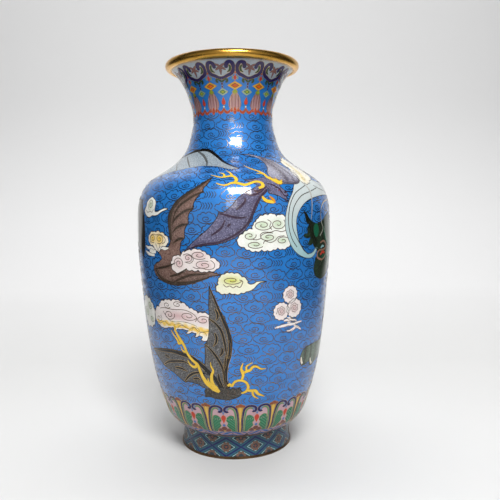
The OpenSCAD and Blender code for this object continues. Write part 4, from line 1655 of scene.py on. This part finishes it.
def enamel(name, colour, second, dark, pale):
    """Fired glass: even colour with fine specks, and a polished surface with a faint ripple."""
    m, tree, shade = shader(name)
    where = tree.nodes.new("ShaderNodeTexCoord").outputs["Object"]
    sheer = SHEER.get(name)
    if second:
        tint = tree.nodes.new("ShaderNodeAttribute")
        tint.attribute_name = "tint"
        base = blend(tree, tint.outputs["Fac"], colour, second)
    else:
        cloudy = spread(tree, noise(tree, where, CLOUDING, 4), 0.3, 0.7, 0.0, 1.0)
        base = blend(tree, cloudy, darker(colour, 0.90), darker(colour, 1.08))
    grain = spread(tree, noise(tree, where, DARK_SPECKS, 2), 0.44, 0.66, 0.0, dark)
    base = blend(tree, grain, base, darker(colour, 0.22))
    if pale:
        light = tuple(min(0.85, c * 2.2 + 0.12) for c in colour)
        flecks = spread(tree, noise(tree, where, PALE_SPECKS, 2, 0.7), 0.50, 0.68, 0.0, pale)
        base = blend(tree, flecks, base, light)
    tree.links.new(base, shade.inputs["Base Color"])
    polish = (0.42, 0.50) if sheer else (0.035, 0.075)
    rough = spread(tree, noise(tree, where, POLISH, 3), 0.3, 0.7, *polish)
    tree.links.new(rough, shade.inputs["Roughness"])
    put(shade, {"IOR": 1.52})
    if sheer:
        put(shade, {"Metallic": sheer, "Specular IOR Level": 0.3})
        put(shade, {"Coat Weight": 1.0, "Coat Roughness": 0.075, "Coat IOR": 1.6})
    bump(tree, shade, noise(tree, where, RIPPLE, 2), 0.15, 0.00004)
    return m


def metal(name, colour, tarnish, rough, share):
    """Gilt or bare metal, tarnished in patches and lightly scratched."""
    m, tree, shade = shader(name)
    where = tree.nodes.new("ShaderNodeTexCoord").outputs["Object"]
    patches = noise(tree, where, TARNISH, 4, 0.6)
    patches = spread(tree, patches, 0.5 - share * 0.2, 0.75 - share * 0.1, 0.0, 1.0)
    tree.links.new(blend(tree, patches, colour, tarnish), shade.inputs["Base Color"])
    wear = spread(tree, noise(tree, where, TARNISH, 3), 0.3, 0.7, rough * 0.85, rough * 1.2)
    tree.links.new(wear, shade.inputs["Roughness"])
    put(shade, {"Metallic": 1.0})
    bump(tree, shade, noise(tree, where, SCRATCHES, 2), 0.08, 0.00003)
    return m


def material(look):
    """The material of a look, made when first asked for."""
    if look not in MADE:
        MADE[look] = enamel(look, *ENAMELS[look]) if look in ENAMELS else metal(look, *METALS[look])
    return MADE[look]


# ---------------------------------------------------------------- the vase

for turn, mirror in ((0, False), (180, True)):
    pictures(Spot(BODY, turn, mirror))
scrolls()
ruyi_band()
tassel_band()
lappet_band()
foot_band()
cut_wires()

GROUNDS = (
    ("ruyi_field", "ruyi_band", "band_enamel", BODY, RUYI_EDGE, BAND_TOP, "ground_blue"),
    ("tassel_field", "tassel_band", "band_enamel", BODY, TASSEL_EDGE, RUYI_EDGE, "ground_blue"),
    ("neck_field", "neck_ground", "blue_enamel", BODY, 290.0, TASSEL_EDGE, "ground_blue"),
    ("shoulder_field", "shoulder_ground", "blue_enamel", BODY, 208.0, 290.0, "ground_blue"),
    ("body_field", "body_ground", "blue_enamel", BODY, LAPPET_EDGE, 208.0, "ground_blue"),
    ("lappet_field", "lappet_band", "band_enamel", BODY, FRINGE_EDGE, LAPPET_EDGE, "ground_blue"),
    # The fringe zone's ground is painted crease shade
    ("fringe_field", "fringe_band", "band_enamel", BODY, CREASE, FRINGE_EDGE, "fringe_painted_shade"),
    ("foot_field", "foot_band", "band_enamel", FOOT, 1.8, CREASE, "foot_navy"),
)
for row in GROUNDS:
    ground(*row)

for name in sorted(LAYERS):
    part = LAYERS[name]
    look = "wire_scroll" if name.startswith("scroll") else name
    slot = "wire" if name.startswith(("wire_", "scroll")) else "band_enamel"
    points, normals, faces = (np.vstack(rows) for rows in (part.points, part.normals, part.faces))
    make(name, points, normals, faces, np.concatenate(part.tints), look, slot)

NODE_LOOKS = {
    "gilt": ("mouth_rim",),
    "gilt_foot": ("foot_rim",),
    "copper": ("neck_shell", "shoulder_shell", "body_shell", "base_plate", "foot_shell"),
    "solder": ("neck_seam", "belly_seam", "plate_seam", "foot_seam"),
    "wire_gold": ("mouth_wire",),
    "wire_brown": ("crease_wire", "foot_wire"),
    "counter_blue": (
        "neck_lining", "shoulder_lining", "body_lining", "floor_lining", "base_lining", "foot_lining",
    ),
}
for look, nodes in NODE_LOOKS.items():
    for node in nodes:
        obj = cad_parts[node]
        for s in obj.material_slots:
            s.link = "OBJECT"
            s.material = material(look)


# ---------------------------------------------------------------- stage, lights and camera

# The stage, in metres: the floor runs from its front edge to the foot of the wall and curves up there
FLOOR_FRONT = -4.0
WALL_FOOT = 0.9
WALL_CURVE = 0.6
WALL_TOP = 5.0
STAGE_SIDE = 5.0
FAR_GLOW = 0.65         # light that the far floor gives to the camera only
ROOM_LIGHT = 0.46       # light from the open room in front
ROOM_GREY = 0.80        # the room as the camera sees it
WHITE = (1.0, 1.0, 1.0, 1.0)
VASE_MIDDLE = (0, 0, 0.2)

CAMERA_AT = (0.0158, -0.6105, 0.2452)
CAMERA_DOWN = 4.72      # degrees
CAMERA_ROLL = -0.582    # degrees
CAMERA_LENS = 43.45     # millimetres


def grey(level):
    """An even grey."""
    return (level, level, level)


def seen_directly(tree):
    """1 for what the camera sees itself, 0 for bounced light."""
    return tree.nodes.new("ShaderNodeLightPath").outputs["Is Camera Ray"]


def paper():
    """Pale paper. It throws light back only near the vase, and its far floor glows for the camera."""
    m, tree, shade = shader("paper")
    where = tree.nodes.new("ShaderNodeTexCoord").outputs["Object"]
    axes = tree.nodes.new("ShaderNodeSeparateXYZ")
    tree.links.new(where, axes.inputs[0])
    side = arithmetic(tree, "ABSOLUTE", axes.outputs["X"])
    rise = spread(tree, axes.outputs["Y"], 0.3, 1.0, 0.0, 1.0)
    widening = arithmetic(tree, "MULTIPLY", axes.outputs["Z"], 3.0)
    widening = arithmetic(tree, "ADD", widening, arithmetic(tree, "MULTIPLY", rise, 0.4))
    beside = spread(tree, arithmetic(tree, "SUBTRACT", side, widening), 0.35, 0.65, 0.0, 1.0)
    bounced = blend(tree, beside, blend(tree, rise, grey(0.58), grey(0.92)), grey(0.05))
    # The wall as the camera sees it is painted darker towards its top: painted shade
    wall = blend(tree, spread(tree, axes.outputs["Z"], 0.2, 0.9, 0.0, 1.0), grey(0.84), grey(0.71))
    floor = blend(tree, noise(tree, where, 3, 2), (0.66, 0.66, 0.655), (0.68, 0.68, 0.675))
    direct = seen_directly(tree)
    tree.links.new(blend(tree, direct, bounced, blend(tree, rise, floor, wall)), shade.inputs["Base Color"])
    aside = spread(tree, side, 0.9, 2.2, 0.0, FAR_GLOW)
    before = spread(tree, axes.outputs["Y"], -0.8, -2.2, 0.0, FAR_GLOW)
    glow = arithmetic(tree, "MINIMUM", arithmetic(tree, "ADD", aside, before), FAR_GLOW)
    tree.links.new(arithmetic(tree, "MULTIPLY", glow, direct), shade.inputs["Emission Strength"])
    put(shade, {"Emission Color": WHITE, "Roughness": 0.8, "Specular IOR Level": 0.1})
    return m


def stage_sweep():
    """A paper floor that curves up into a wall."""
    profile = [(FLOOR_FRONT, 0.0), (WALL_FOOT, 0.0)]
    for a in np.linspace(0.1, math.pi / 2, 14):
        profile.append((WALL_FOOT + WALL_CURVE * math.sin(a), WALL_CURVE - WALL_CURVE * math.cos(a)))
    profile.append((WALL_FOOT + WALL_CURVE, WALL_TOP))
    points = [(x, y, z) for y, z in profile for x in (-STAGE_SIDE, STAGE_SIDE)]
    faces = [(2 * i, 2 * i + 1, 2 * i + 3, 2 * i + 2) for i in range(len(profile) - 1)]
    mesh = bpy.data.meshes.new("sweep")
    mesh.from_pydata(points, [], faces)
    mesh.polygons.foreach_set("use_smooth", [True] * len(mesh.polygons))
    mesh.materials.append(paper())
    obj = bpy.data.objects.new("sweep", mesh)
    bpy.context.scene.collection.objects.link(obj)


def softbox(name, place_at, aim, wide, tall, power):
    """A rectangular light aimed at a point."""
    data = bpy.data.lights.new(name, "AREA")
    data.shape = "RECTANGLE"
    data.size = wide
    data.size_y = tall
    data.energy = power
    obj = bpy.data.objects.new(name, data)
    bpy.context.scene.collection.objects.link(obj)
    obj.location = place_at
    obj.rotation_mode = "QUATERNION"
    obj.rotation_quaternion = (Vector(aim) - Vector(place_at)).to_track_quat("-Z", "Y")
    return obj


def room():
    """Light from the open room in front. The camera itself sees plain pale grey."""
    world = bpy.data.worlds.new("room")
    world.use_nodes = True
    tree = world.node_tree
    back = tree.nodes["Background"]
    axes = tree.nodes.new("ShaderNodeSeparateXYZ")
    tree.links.new(tree.nodes.new("ShaderNodeTexCoord").outputs["Generated"], axes.inputs[0])
    front = spread(tree, axes.outputs["Y"], 0.0, -0.6, 0.0, 1.0)
    low = spread(tree, axes.outputs["Z"], 0.10, 0.60, ROOM_LIGHT, 0.3 * ROOM_LIGHT)
    light = spread(tree, arithmetic(tree, "MULTIPLY", front, low), 0.0, 1.0, 0.03, 1.0)
    mix = tree.nodes.new("ShaderNodeMix")
    tree.links.new(seen_directly(tree), mix.inputs["Factor"])
    tree.links.new(light, mix.inputs[2])
    mix.inputs[3].default_value = ROOM_GREY
    tree.links.new(mix.outputs[0], back.inputs["Strength"])
    put(back, {"Color": WHITE})
    bpy.context.scene.world = world


def look_through():
    """The photograph's camera."""
    lens = bpy.data.cameras.new("camera")
    lens.sensor_width = 36.0
    lens.lens = CAMERA_LENS
    lens.clip_start = 0.05
    camera = bpy.data.objects.new("camera", lens)
    bpy.context.scene.collection.objects.link(camera)
    camera.rotation_mode = "QUATERNION"
    pitch = Matrix.Rotation(math.radians(90 - CAMERA_DOWN), 4, "X")
    roll = Matrix.Rotation(math.radians(CAMERA_ROLL), 4, "Z")
    camera.matrix_world = Matrix.Translation(CAMERA_AT) @ pitch @ roll
    bpy.context.scene.camera = camera


stage_sweep()
softbox("key", (0.20, -1.08, 1.46), VASE_MIDDLE, 0.64, 0.5, 27.5)
softbox("front_fill", (-0.03, -1.9, 0.94), VASE_MIDDLE, 0.42, 0.6, 3)
wall_light = softbox("wall_light", (-0.05, 0.35, 2.4), (-0.05, 1.1, 0.2), 2.2, 0.8, 30)
wall_light.visible_glossy = False
room()
look_through()
bpy.context.scene.view_settings.view_transform = "Standard"
